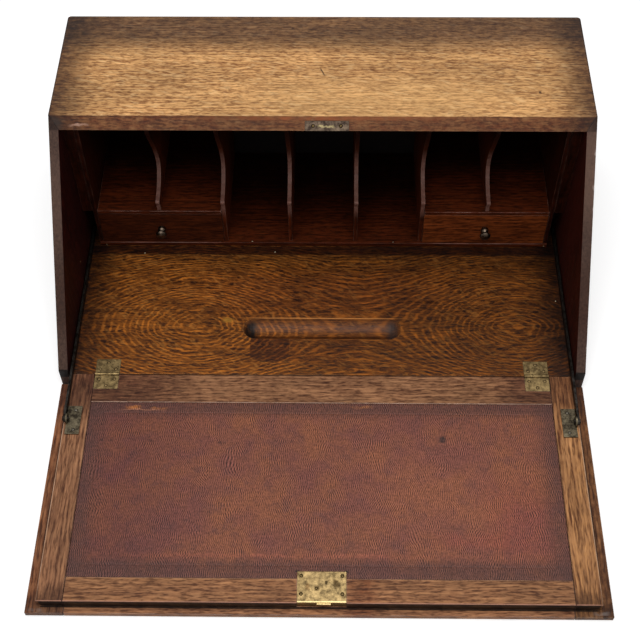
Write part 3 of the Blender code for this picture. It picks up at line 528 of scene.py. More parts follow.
def skiver(name, box, field, patches):
    """Morocco skiver: thin grained goatskin, dyed, glazed, and worn by writing.

    To the eye that is fine ridges that run mostly up and down the sheet and swirl like a
    fingerprint, lighter on the ridges and darker between them, partly the glaze and partly painted
    light and shade, a browner middle, a dull dark band round the edge, and a sheen on the ridges.
    Real ridges are under 1 mm apart; they are drawn 2.1 mm apart, because the picture shows no less.
    """
    material, tree, shader, place = new_finish(name)
    swirl, ridge_pitch = 15 * MM, 2.1 * MM
    sway = mottle(tree, place, [38 * MM] * 3, 1.0, "Color")
    bent = add_node(
        tree, "VectorMath", {0: sway, 1: [swirl] * 3, 2: place}, operation="MULTIPLY_ADD"
    )
    ridge = add_node(
        tree,
        "TexGabor",
        {
            "Vector": bent,
            "Scale": 1 / swirl,
            "Frequency": swirl / ridge_pitch,
            "Anisotropy": 0.72,
            "Orientation": 0.0,
        },
        "Value",
        gabor_type="2D",
    )
    cloud, pebble, speckle = (
        mottle(tree, place, [size * MM] * 3, detail, rough=0.6)
        for size, detail in ((46.0, 4.0), (2.6, 3.0), (14.0, 3.0))
    )
    grain = add_node(tree, "Mix", {0: 0.35, 2: ridge, 3: pebble}, data_type="FLOAT")
    # lighter ridges and darker valleys: partly the glazed grain's own two tones, partly the grain's light
    # and shade painted in
    shade = add_node(
        tree,
        "MapRange",
        {"Value": grain, "From Min": 0.36, "From Max": 0.66, "To Min": 0.25, "To Max": 1.85},
    )
    dyed = add_node(tree, "MapRange", {"Value": cloud, "From Min": 0.38, "From Max": 0.64})
    dull = add_node(
        tree, "MapRange", {"Value": speckle, "From Min": 0.5, "From Max": 0.72, "To Max": 0.55}
    )
    colour = paint(tree, rgba(field), (dyed, "74443A"), (dull, "5C3A36"))
    colour = lay_patches(tree, place, colour, box, patches)
    rough = {"From Min": 0.3, "From Max": 0.7, "To Min": 0.62, "To Max": 0.46}
    fill(
        tree,
        shader,
        {
            "Base Color": add_node(tree, "VectorMath", {0: colour, "Scale": shade}, operation="SCALE"),
            "Roughness": add_node(tree, "MapRange", {"Value": grain, **rough}),
            "Normal": add_node(tree, "Bump", {"Strength": 0.6, "Distance": 0.2 * MM, "Height": grain}),
            "Specular IOR Level": 0.2,
        },
    )
    return material


def coat(material, *names):
    """Gives CAD nodes a material, in the slot that they came with."""
    for name in names:
        NODES[name].material_slots[0].material = material


def grid_quads(rows, columns, start=0):
    """The quads between neighbouring points of a grid, as point numbers."""
    first = np.arange(rows * columns).reshape(rows, columns) + start
    corners = [first[:-1, :-1], first[1:, :-1], first[1:, 1:], first[:-1, 1:]]
    return np.stack(corners, axis=-1).reshape(-1, 4)


def add_piece(name, points, quads, body, material, attributes=None):
    """A piece from points and quads: doubles merged, faces outward, on its body."""
    mesh = bpy.data.meshes.new(name)
    mesh.from_pydata(points.reshape(-1, 3).tolist(), [], quads.tolist())
    for key, values in (attributes or {}).items():
        layer = mesh.attributes.new(key, "FLOAT", "POINT")
        layer.data.foreach_set("value", values.astype(np.float32).ravel())
    bm = bmesh.new()
    bm.from_mesh(mesh)
    bmesh.ops.remove_doubles(bm, verts=bm.verts, dist=0.001 * MM)
    bmesh.ops.recalc_face_normals(bm, faces=bm.faces)
    bm.to_mesh(mesh)
    bm.free()
    mesh.shade_smooth()
    mesh.set_sharp_from_angle(angle=math.radians(35))
    mesh.materials.append(material)
    obj = bpy.data.objects.new(name, mesh)
    bpy.context.scene.collection.objects.link(obj)
    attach(obj, body)
    return obj


def placed(shape, places):
    """Copies of a grid shape (rows, columns, 3), one for each 4 x 4 place, as one array."""
    turns = np.array([[row[:3] for row in place][:3] for place in places])
    shifts = np.array([[row[3] for row in place][:3] for place in places])
    return np.einsum("pij,rcj->prci", turns, shape) + shifts[:, None, None, :]


def many_quads(copies, rows, columns):
    """The quads of several copies of one grid."""
    return np.concatenate([grid_quads(rows, columns, i * rows * columns) for i in range(copies)])


def add_screws(name, places, sizes, body, material):
    """Slotted countersunk heads.

    Both sheets of a head lie over one disc, x = s sqrt(1 - t^2) R and y = t R for s and t from -1
    to 1. The upper sheet is a low dome with a trench where |t| is small, that runs out at the rim;
    the lower one is a 45 degree cone down to the shank. They share the rim.
    """
    slot_half = 0.15
    flank = np.linspace(slot_half * 1.12, 1.0, 8)
    trench = np.linspace(-slot_half, slot_half, 4)
    over = np.concatenate([-flank[::-1], trench, flank])
    t, s = np.meshgrid(over, np.linspace(-1, 1, 13), indexing="ij")
    x = s * np.sqrt(np.maximum(1 - t**2, 0))
    rho = np.sqrt(np.minimum(x**2 + t**2, 1.0))
    dome = 0.09 * (1 - rho**2)
    upper = dome - 0.26 * (np.abs(t) < slot_half * 1.05) * (1 - rho**14)
    lower = -np.minimum(1 - rho, 0.5)
    sheets = np.stack([np.stack([x, t, height], -1) for height in (upper, lower)]) * sizes.screw_radius
    sheets[..., 2] -= sizes.screw_sunk
    points = np.concatenate([placed(sheet, places) for sheet in sheets])
    copies = 2 * len(places)
    rims = np.broadcast_to(rho, (copies, *x.shape))
    return add_piece(name, points, many_quads(copies, *x.shape), body, material, {"rim": rims})


def add_pins(name, places, radius, body, material):
    """Nail heads: a polar grid, radius r(v) = R cos v and height h(v) = 0.35 R sin v above a foot.

    The foot goes 0.3 R down into the wood and closes to a point there.
    """
    v = np.concatenate([[np.pi / 2], np.linspace(1.3, 0.0, 6)])
    r = np.concatenate([np.cos(v), [0.9, 0.0]])
    r[0] = 0.0
    h = np.concatenate([0.35 * np.sin(v), [-0.3, -0.3]])
    u = np.linspace(0, 2 * np.pi, 17)
    shape = np.stack(
        [np.outer(r, np.cos(u)), np.outer(r, np.sin(u)), np.outer(h, np.ones_like(u))], -1
    )
    points = placed(shape * radius, places)
    quads = many_quads(len(places), *shape.shape[:2])
    rims = np.broadcast_to(r[:, None], (len(places), *shape.shape[:2]))
    return add_piece(name, points, quads, body, material, {"rim": rims})


def facing_up(x, y, z, turn=0.0):
    """The place of a head that looks up, with its slot turned."""
    return Matrix.Translation((x, y, z)) @ Matrix.Rotation(turn, 4, "Z")


def slot_turns(count, seed):
    """A different, repeatable turn for each screw's slot."""
    return np.random.default_rng(seed).uniform(0.0, math.pi, count)


def settings(context):
    """The colours and the sizes that are set in the sidebar."""
    return context.scene.bureau_colours, context.scene.bureau_sizes


class BUREAU_OT_carcass(bpy.types.Operator):
    """Finish the top, the sides and the back"""

    bl_idname = "bureau.carcass"
    bl_label = "Carcass"

    def execute(self, context):
        colours, _ = settings(context)
        self.finish_top(colours)
        tone = Tone(colours.carcass_dark, colours.carcass_light, "241610", "6E564A", "8E7464")
        self.finish_sides(tone)
        box = box_of("back_panel")
        cut = Cut(
            grain=0, rings=6 * MM, heart=(0.1, 0.02, -0.02), oval=9.0, stray=6 * MM,
            shares=(0.4, 0.3, 0.3), fleck=0.1,
        )
        # the inner face is darkened nearly to black: partly a darker stain inside, partly painted shade
        # where the pigeonholes keep the light off
        inner = Patch("wash", (0.5, 0.0, 0.5), (ENDLESS, 1, ENDLESS), "2A1008", 1.0, (0.8, 1.0), 0.1)
        coat(oak("stained_back_oak", box, cut, tone, [inner]), "back_panel")
        return {"FINISHED"}

    def finish_top(self, colours):
        """The top: paler before the middle, dark at the back, the ends and the front face."""
        low, high = box = box_of("top_board")
        tone = Tone(colours.top_dark, colours.top_light, "6A4224", "E8C08A", "E2B98A")
        cut = Cut(
            grain=0, rings=4.2 * MM, heart=(0.05, -0.42, 0.02), oval=24.0, stray=7 * MM,
            shares=(0.24, 0.38, 0.38), fleck=0.4, pore=8.0,
            ray_turn=(0.0, 0.0, math.radians(-14)),
        )
        half_x = (high.x - low.x) / 2 / MM
        mitre = math.radians(41)
        patches = [
            Patch("stain", (0.5, 1.0, 0.5), (ENDLESS, 66, ENDLESS), "807A86", 1.0, (0.45, 1.15), 0.2),
            Patch("stain", MIDDLE, (half_x, ENDLESS, ENDLESS), "5E4D50", 1.0, (1.0, 0.82), 0.3),
            Patch("smear", (0.62, 0.2, 1.0), (190, 40, ENDLESS), "F0BE7C", 0.3, (0.2, 1.3)),
            Patch("wash", (0.5, 0.5, 0.0), (ENDLESS, ENDLESS, 12.2), "765448", 1.0, (0.95, 0.99), 0.2),
            # a red streak under the front arris, a bruised lower corner, and dirt at the left end
            Patch("mark", (0.5, 0.06, 0.80), (150, 40, 1.9), "9A542C", 0.7, (0.3, 1.25), 0.85),
            Patch("smear", (0.055, 0.02, 0.32), (11, 40, 1.2), "B8927E", 0.8, (0.5, 1.2), 0.6),
            Patch("mark", (0.0, 0.06, 0.4), (16, 30, 6), "30251F", 0.8, broken=0.2),
            *(
                # dirt in the mitre at each end
                Patch(
                    "mark", (0.5 + side * 0.491, 0.06, 0.5), (1.2, ENDLESS, 10), "1E1412", 0.8,
                    broken=0.3, turn=(0.0, side * mitre, 0.0),
                )
                for side in SIDES.values()
            ),
            *(
                # a cut and two dark dents
                Patch(
                    "mark", share_of(box, x, y), (*half, ENDLESS), colour, strength, (0.4, 1.2), 0.1,
                    (0.0, 0.0, turn),
                )
                for x, y, half, colour, strength, turn in (
                    (-0.0003, 0.0843, (0.9, 8), "2E1A0C", 0.9, 0.38),
                    (0.245, 0.0516, (1.8, 2.4), "2A160A", 0.9, 0.0),
                    (-0.0359, 0.1591, (1.8, 2.0), "2A160A", 0.8, 0.0),
                )
            ),
        ]
        coat(oak("waxed_top_oak", box, cut, tone, patches, rubbed=0.6, sheen=0.2), "top_board")

    def finish_sides(self, tone):
        """The sides: calm greyish fronts on the slope, and dark red inner faces, partly stained and partly
        painted shade.
        """
        low, high = box = box_of("side_left", "side_right")
        cut = Cut(
            grain=2, rings=5 * MM, heart=(0.0, -0.3, 0.05), oval=14.0, stray=5 * MM,
            shares=(0.2, 0.4, 0.4), fleck=0.15,
        )
        # from the middle to just past the inner faces, in mm
        inner_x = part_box("side_right")[0].x / MM + 0.4
        foot = share_of(box, 0.0, HINGE.y - 4.5 * MM, HINGE.z + 6.6 * MM)
        slope_start = Vector((0.0, HINGE.y - 4.3 * MM, 31 * MM))

        def on_slope(z, x=high.x):
            y = slope_start.y + (z - slope_start.z) / math.tan(SLOPE)
            return share_of(box, x, y, z)

        def worn_front(kind, at, half, *look):
            return Patch(kind, at, half, *look, facing=SLOPE_FACING)

        patches = [
            # the inner faces are stained darker and redder than the fronts, and darkened further with
            # painted shade, most on the left
            Patch("wash", MIDDLE, (inner_x, ENDLESS, ENDLESS), "9D3509", 1.0, (1.0, 1.001), 0.1),
            Patch("stain", (0.09, 0.5, 0.5), (44.3, ENDLESS, ENDLESS), "B689B3", 1.0, (1.0, 1.001), 0.1),
            # the planed fronts show less figure
            worn_front("mark", MIDDLE, WHOLE, "4C3A33", 0.55, (0.6, 1.2), 0.1),
            # they are rubbed paler above, more so on the right, and dirtier below the middle
            worn_front("smear", on_slope(0.205), (90, ENDLESS, 50), "7A5E50", 0.4, (0.3, 1.2), 0.3),
            worn_front("smear", on_slope(0.18, low.x), (90, ENDLESS, 40), "7A5E50", 0.18, (0.3, 1.2), 0.3),
            worn_front("stain", on_slope(0.095), (ENDLESS, ENDLESS, 40), "D6C4BC", 0.9, (0.3, 1.2), 0.2),
            # painted shade over the foot, near black as if its notch lay in deep shadow, and the ends of the
            # mitres
            Patch("mark", foot, (ENDLESS, 3, 7), "0A0706", 0.95, (0.9, 1.05), 0.05),
            Patch("wash", on_slope(0.241), (ENDLESS, 9, 6.5), "6E6260", 0.9, (0.9, 1.1)),
            *(
                # knocks on the right front arris
                Patch("smear", on_slope(z), (2, 2.5, run), "C8B8B0", 0.7, (0.3, 1.2), 0.9)
                for z, run in ((0.217, 4), (0.189, 3), (0.171, 5), (0.052, 4))
            ),
        ]
        finish = oak("stained_side_oak", box, cut, tone, patches, rubbed=0.45, sheen=0.12)
        coat(finish, "side_left", "side_right")


class BUREAU_OT_floor(bpy.types.Operator):
    """Finish the floor board and its pen groove"""

    bl_idname = "bureau.floor"
    bl_label = "Floor and pen groove"

    def execute(self, context):
        colours, _ = settings(context)
        _, high = box = box_of("floor_board")
        tone = Tone(colours.floor_dark, colours.floor_light, "240E05", "B07434", "A87A4C")
        # the rings close round two eyes and run level between them; the rays lie aslant
        cut = Cut(
            grain=0, rings=3.9 * MM, heart=(0.042, -0.098, 0.0), oval=1.5, stray=17 * MM,
            shares=(0.58, 0.2, 0.24), fleck=0.4, thin=0.55, apart=0.192,
            ray_turn=(0.0, 0.0, math.radians(-32)),
        )
        groove_y = HINGE.y + 66.6 * MM
        groove_depth = 9.5  # in mm
        groove_z = high.z - groove_depth * MM
        # a patch with this half-height about the groove's bottom stops just under the floor's face
        sunk = groove_depth - 0.25

        def on_floor(x, y):
            return share_of(box, x, y)

        def hollow(x, from_middle):
            return share_of(box, x, groove_y + from_middle * MM, groove_z)

        patches = [
            # darker to the right, and painted shade towards the back and along the walls
            Patch("stain", on_floor(0.30, -0.08), (340, ENDLESS, ENDLESS), "C8C4BE", 1.0, (0.5, 1.2), 0.1),
            Patch("stain", on_floor(0.0, -0.06), (170, 45, ENDLESS), "DCD0DA", 1.0, (0.4, 1.2), 0.2),
            Patch("stain", on_floor(0.0, 0.03), (ENDLESS, 62, ENDLESS), "CCD2E8", 1.0, (0.3, 1.2), 0.1),
            Patch("stain", MIDDLE, (293, ENDLESS, ENDLESS), "4A342E", 1.0, (1.0, 0.80), 0.3),
            # the strip before the pigeonholes is darker, with a dark line along its front edge
            Patch("wash", on_floor(0.0, 0.0083), (ENDLESS, 6.5, ENDLESS), "6E4238", 0.95, (0.95, 1.0), 0.2),
            Patch("mark", on_floor(0.0, 0.0012), (ENDLESS, 0.9, ENDLESS), "140804", 0.75, (0.5, 1.2), 0.5),
            # a mended piece before the groove, sharp at its left end
            Patch("wash", on_floor(-0.062, -0.1405), (24, 21, 2), "8A7070", 0.75, (0.95, 1.0), 0.3),
            Patch("wash", on_floor(-0.016, -0.1405), (70, 21, 2), "A08A82", 0.6, (0.9, 1.0), 0.6),
            # two knots, one bright and one dark
            Patch("smear", on_floor(-0.1136, -0.101), (8, 5, ENDLESS), "C08A34", 0.55, (0.2, 1.1), 0.3),
            Patch("smear", on_floor(-0.1915, -0.109), (6, 5, ENDLESS), "1A0A06", 0.7, (0.2, 1.1), 0.3),
            # the groove's greyed hollow, darker towards the front
            Patch("mark", hollow(0.0, 0), (ENDLESS, ENDLESS, sunk), "74482E", 0.4, (1.0, 1.001), 0.5),
            Patch("wash", hollow(0.0, -11), (ENDLESS, 7, sunk), "6A4A40", 0.9, (0.5, 1.1)),
            # its far rim, rubbed and painted bright as a highlight, with painted shade below it, along the
            # near rim and at both ends
            Patch("mark", on_floor(0.0, groove_y + 15.7 * MM), (93, 0.9, 1), "D08A4A", 0.7, (0.5, 1.2), 0.3),
            Patch("mark", hollow(0.0, 14.2), (ENDLESS, 0.9, sunk), "2A1006", 0.7, (0.5, 1.2), 0.3),
            Patch("mark", hollow(0.0, -14.0), (ENDLESS, 1.6, sunk), "080403", 0.9, broken=0.1),
            Patch("mark", hollow(-0.0885, 0), (13, ENDLESS, sunk), "0C0A0A", 1.0, (0.4, 1.1), 0.1),
            Patch("mark", hollow(0.0885, 0), (13, ENDLESS, sunk), "2C2422", 0.95, (0.3, 1.1), 0.2),
        ]
        finish = oak("figured_floor_oak", box, cut, tone, patches, gloss=0.46, sheen=0.16)
        coat(finish, "floor_board")
        return {"FINISHED"}


class BUREAU_OT_pigeonholes(bpy.types.Operator):
    """Finish the pigeonholes: base, ends, shelves and shaped dividers"""

    bl_idname = "bureau.pigeonholes"
    bl_label = "Pigeonholes"

    def execute(self, context):
        colours, _ = settings(context)
        tone = Tone(colours.inside_dark, colours.inside_light, "1E0A04", "7E4420", "C09A8C")
        ends = [f"{kind}_{word}" for kind in ("unit_end", "stay_pocket_cover") for word in SIDES]
        shelves = [f"drawer_shelf_{word}" for word in SIDES]
        dividers = [f"divider_{kind}_{word}" for kind in ("outer", "bay", "centre") for word in SIDES]
        # painted shade: the wood is made darkest high up at the back, where the top keeps the light off
        dark = Patch("stain", (0.5, 1.0, 1.0), (ENDLESS, 125, 130), "3A3230", 0.9, (0.4, 1.2), 0.1)
        # painted shade: darker high up all across the pigeonholes
        deep = Patch("stain", (0.5, 0.5, 1.0), (ENDLESS, ENDLESS, 75), "342A2A", 0.9, (0.4, 1.2), 0.1)
        # painted highlight on the dividers' front edges, half-way up, on the faces turned towards the light
        pale = Patch(
            "mark", (0.5, 0.5, 0.43), (ENDLESS, ENDLESS, 33), "86645A", 0.75, (0.8, 1.5),
            facing=(0.0, -0.8, 0.6),
        )
        dull = Patch("stain", MIDDLE, WHOLE, "746462", 1.0)
        # the base's front arris is rubbed before each drawer, and painted pale as the highlight it catches
        lines = [
            Patch("mark", (share, 0.0, 1.0), (74, 0.8, 0.8), "A88276", 0.4, broken=0.6)
            for share in (0.145, 0.855)
        ]
        for name, grain, names, patches, rubbed in (
            ("base_inside_oak", 0, ["unit_base"], [dark, *lines], 0.05),
            ("shelf_inside_oak", 0, shelves, [dark], 0.6),
            ("end_inside_oak", 2, ends, [dark, dull], 0.5),
            ("divider_inside_oak", 2, dividers, [dark, pale, deep], 0.12),
        ):
            cut = Cut(
                grain=grain, rings=4.5 * MM, heart=(0.02, -0.2, 0.1), oval=12.0, stray=5 * MM,
                shares=(0.3, 0.4, 0.3), fleck=0.1,
            )
            finish = oak(name, box_of(*names), cut, tone, patches, rubbed, gloss=0.45, sheen=0.1)
            coat(finish, *names)
        return {"FINISHED"}


class BUREAU_OT_drawers(bpy.types.Operator):
    """Finish the drawers, and turn their knobs"""

    bl_idname = "bureau.drawers"
    bl_label = "Drawers and knobs"

    def execute(self, context):
        fronts = [f"drawer_{word}_front" for word in SIDES]
        tone = Tone(linear("401808"), linear("8F4820"), "240C04", "8E4E24", "8A5C40")
        # the left one has seen less sun
        shade = Patch("stain", (0.0, 0.5, 0.5), (200, ENDLESS, ENDLESS), "968E9A", 1.0, (0.99, 1.0), 0.1)
        cut = Cut(
            grain=0, rings=4 * MM, heart=(0.05, -0.2, -0.12), oval=14.0, stray=5 * MM,
            shares=(0.3, 0.35, 0.35), fleck=0.12,
        )
        box = box_of(*fronts)
        coat(oak("drawer_front_oak", box, cut, tone, [shade], gloss=0.42, sheen=0.12), *fronts)

        lined = ("side_inner", "side_outer", "back", "bottom")
        linings = [f"drawer_{word}_{part}" for word in SIDES for part in lined]
        tone = Tone(linear("7A5430"), linear("A87C4E"), "4E3018", "B98E5E", "A8845C")
        cut = Cut(
            grain=1, rings=4 * MM, heart=(0.2, 0.0, -0.12), oval=14.0, stray=5 * MM,
            shares=(0.3, 0.35, 0.35), fleck=0.12,
        )
        box = box_of(*linings)
        coat(oak("drawer_lining_oak", box, cut, tone, rubbed=0.3, gloss=0.6), *linings)

        box = box_of("drawer_left_knob")
        metal = worn_metal(
            "knob_brass", box, "78685A", "322A23", rubbed=0.2, roughness=0.3, bright_share=0.3
        )
        for word in SIDES:
            self.turn_knob(word, metal)
        return {"FINISHED"}

    def turn_knob(self, word, metal):
        """A knob turned about the drawer's own slide: a profile of radius and height, spun.

        The head is an oval, r = R cos v and h = H sin v, with a sunk ring near its crown; a hollow
        waist, r = n + (f - n) (1 - cos w) / 2, runs into the foot ring, and a spindle goes behind.
        """
        node = f"drawer_{word}_knob"
        low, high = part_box(node)
        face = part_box(f"drawer_{word}_front")[0].y
        radius = (high.x - low.x) / 2
        length = face - low.y
        head = 0.26 * length
        neck, foot, spindle = 0.45 * radius, 0.72 * radius, 0.33 * radius
        foot_h = 0.25 * length
        v = np.linspace(np.pi / 2, -1.08, 30)
        ring = 1 - 0.035 * np.exp(-(((v - 1.02) / 0.07) ** 2))
        w = np.linspace(0.15 * np.pi, np.pi, 9)
        r = np.concatenate(
            [
                radius * np.cos(v) * ring,
                neck + (foot - neck) * (1 - np.cos(w)) / 2,
                [foot, foot, spindle, spindle, 0.0],
            ]
        )
        r[0] = 0.0
        h = np.concatenate(
            [
                length - head + head * np.sin(v) * ring,
                np.linspace(0.46 * length, foot_h, 9),
                [0.7 * foot_h, 0.02 * length, 0.02 * length, face - high.y, face - high.y],
            ]
        )
        u = np.linspace(0, 2 * np.pi, 49)
        points = np.stack(
            [
                (low.x + high.x) / 2 + np.outer(r, np.cos(u)),
                face - np.outer(h, np.ones_like(u)),
                (low.z + high.z) / 2 + np.outer(r, np.sin(u)),
            ],
            -1,
        )
        quads = grid_quads(*points.shape[:2])
        knob = add_piece(f"turned_knob_{word}", points, quads, f"drawer_{word}", metal)
        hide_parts(node)


class BUREAU_OT_fall(bpy.types.Operator):
    """Finish the fall's stiles, rails and panel"""

    bl_idname = "bureau.fall"
    bl_label = "Fall frame"

    def execute(self, context):
        colours, _ = settings(context)
        tone = Tone(colours.fall_dark, colours.fall_light, "40200E", "B98A62", "D2B09A")
        cut = Cut(
            grain=1, rings=4.5 * MM, heart=(0.08, 0.1, 0.03), oval=14.0, stray=6 * MM,
            shares=(0.3, 0.4, 0.3), fleck=0.25, pore=20.0,
        )
        for word, tint, lip in (("left", "D4C9D2", "D8C0AC"), ("right", "FFF6D8", "7C6862")):
            name = f"fall_stile_{word}"
            box = box_of(name)
            patches = self.stile_wear(box, word == "right", tint, lip)
            coat(oak(f"stile_{word}_oak", box, cut, tone, patches, rubbed=0.7, sheen=0.14), name)
        cut = Cut(
            grain=0, rings=4.5 * MM, heart=(0.06, -0.15, 0.05), oval=18.0, stray=6 * MM,
            shares=(0.3, 0.35, 0.35), fleck=0.3,
        )
        for name, tint, wear in (
            ("hinge_rail", "BCB2B4", self.hinge_rail_wear()),
            ("front_rail", "CCBEB6", self.front_rail_wear(box_of("fall_front_rail"))),
            ("panel", "C0B0A8", []),
        ):
            patches = [Patch("stain", MIDDLE, WHOLE, tint, 0.8), *wear]
            box = box_of(f"fall_{name}")
            finish = oak(f"{name}_oak", box, cut, tone, patches, rubbed=0.7, sheen=0.14)
            coat(finish, f"fall_{name}")
        return {"FINISHED"}

    def front_rebate_shade(self, x, half_x, length):
        """Painted shade in the rebate along the fall's front edge: its wall made near black as if in deep
        shadow.
        """
        at = (x, FRONT_REBATE_SHADE / length, 0.7)
        return Patch("mark", at, (half_x, 1.25, 7.5), "0C0706", 0.95, (0.95, 1.02), 0.1)

    def front_arris(self, x, half_x, length):
        """The rubbed arris above that rebate, painted pale as a highlight too."""
        return Patch("mark", (x, FRONT_ARRIS / length, 1.0), (half_x, 0.9, 1), "C89078", 0.8, broken=0.5)

    def joint_dirt(self, x):
        """Dirt in a joint between a stile and a rail."""
        return Patch("mark", (x, 0.5, 0.5), (0.8, ENDLESS, ENDLESS), "2A1410", 0.7)

    def stile_wear(self, box, right, tint, lip):
        """A stile: a pale field, a greyer lip past its rebate, and painted shade and rubbed arrises, painted
        pale as highlights, between.
        """
        low, high = box
        width, length = (high.x - low.x) / MM, (high.y - low.y) / MM
        edge = 1.0 if right else 0.0
        # from the outer edge, in mm: the lip, the painted shade in the rebate, the field and its arris
        lip_to, rebate_shade_at, field_from, arris_at = 12, 9.3, 11.5, 12.5
        field = (width - field_from) / 2
        run = (length - FRONT_REBATE_SHADE) / 2
        behind = 1.0 - run / length
        # the front's painted shade and arris run over the whole field and on past its inner edge
        across = (abs(1.0 - edge - 0.5 * field / width), 1.5 * field, length)
        darkening = (abs(edge - rebate_shade_at / width), behind, 0.7)
        arris = (abs(edge - arris_at / width), behind, 1.0)
        return [
            Patch("stain", MIDDLE, WHOLE, tint, 0.8),
            Patch("wash", (edge, 0.5, 0.6), (lip_to, ENDLESS, 9), lip, 0.9, (0.97, 1.0)),
            # painted shade along the side rebate, beside the lip's step
            Patch("mark", darkening, (1.2, run, 7.5), "140C0A", 0.85, (0.8, 1.1), 0.3),
            self.front_rebate_shade(*across),
            # smoke and grease have darkened the end by the hinge, and knocks whitened the corner
            Patch("stain", (0.5, 1.0, 0.5), (ENDLESS, 62, ENDLESS), "968488", 0.9, (0.4, 1.2), 0.3),
            Patch("smear", (abs(edge - 0.3), 0.012, 0.5), (9, 2.5, ENDLESS), "C8BCB4", 0.7, (0.3, 1.2), 1.0),
            Patch("stain", (0.5, 0.0, 0.5), (ENDLESS, 27, ENDLESS), "6A5A58", 0.8, (0.4, 1.2)),
            # the rubbed arris beside the rebate, painted pale as a highlight too
            Patch("mark", arris, (0.9, run, 1), "D0A888", 0.8, broken=0.6),
            self.front_arris(*across),
            self.joint_dirt(1.0 - edge),
        ]

    def front_rail_wear(self, box):
        """The front rail: a lip, red wood beside the lock, painted shade in its rebate, and rubbed arrises
        on both edges that are painted pale as highlights.
        """
        length = (box[1].y - box[0].y) / MM
        return [
            Patch("wash", (0.5, 0.0, 0.6), (ENDLESS, 8, 9), "FFFAFF", 0.9, (0.97, 1.0)),
            Patch("stain", (0.585, 0.7, 0.5), (20, ENDLESS, ENDLESS), "B89080", 0.7, (0.3, 1.2)),
            self.joint_dirt(0.0),
            self.joint_dirt(1.0),
            # the rubbed arris by the leather, painted pale as a highlight too
            Patch("mark", (0.5, 1.0, 1.0), (ENDLESS, 0.7, 1.2), "C49A80", 0.6, broken=0.7),
            self.front_rebate_shade(0.5, ENDLESS, length),
            self.front_arris(0.5, ENDLESS, length),
        ]

    def hinge_rail_wear(self):
        """The hinge rail: dark towards both hinges, dirty at the floor, and with a rubbed arris that is
        painted pale as a highlight too.
        """
        hinged = [
            Patch("stain", (x, 0.5, 0.5), (half_x, ENDLESS, ENDLESS), "A08E94", 0.9, (0.4, 1.2), 0.3)
            for x, half_x in ((0.04, 95), (0.98, 55))
        ]
        return [
            *hinged,
            Patch("mark", (0.5, 1.0, 0.5), (ENDLESS, 1.1, ENDLESS), "140A08", 0.85, broken=0.2),
            # the rubbed arris by the leather, painted pale as a highlight too
            Patch("mark", (0.5, 0.0, 1.0), (ENDLESS, 0.8, 1.2), "D0AC98", 0.8, broken=0.8),
        ]


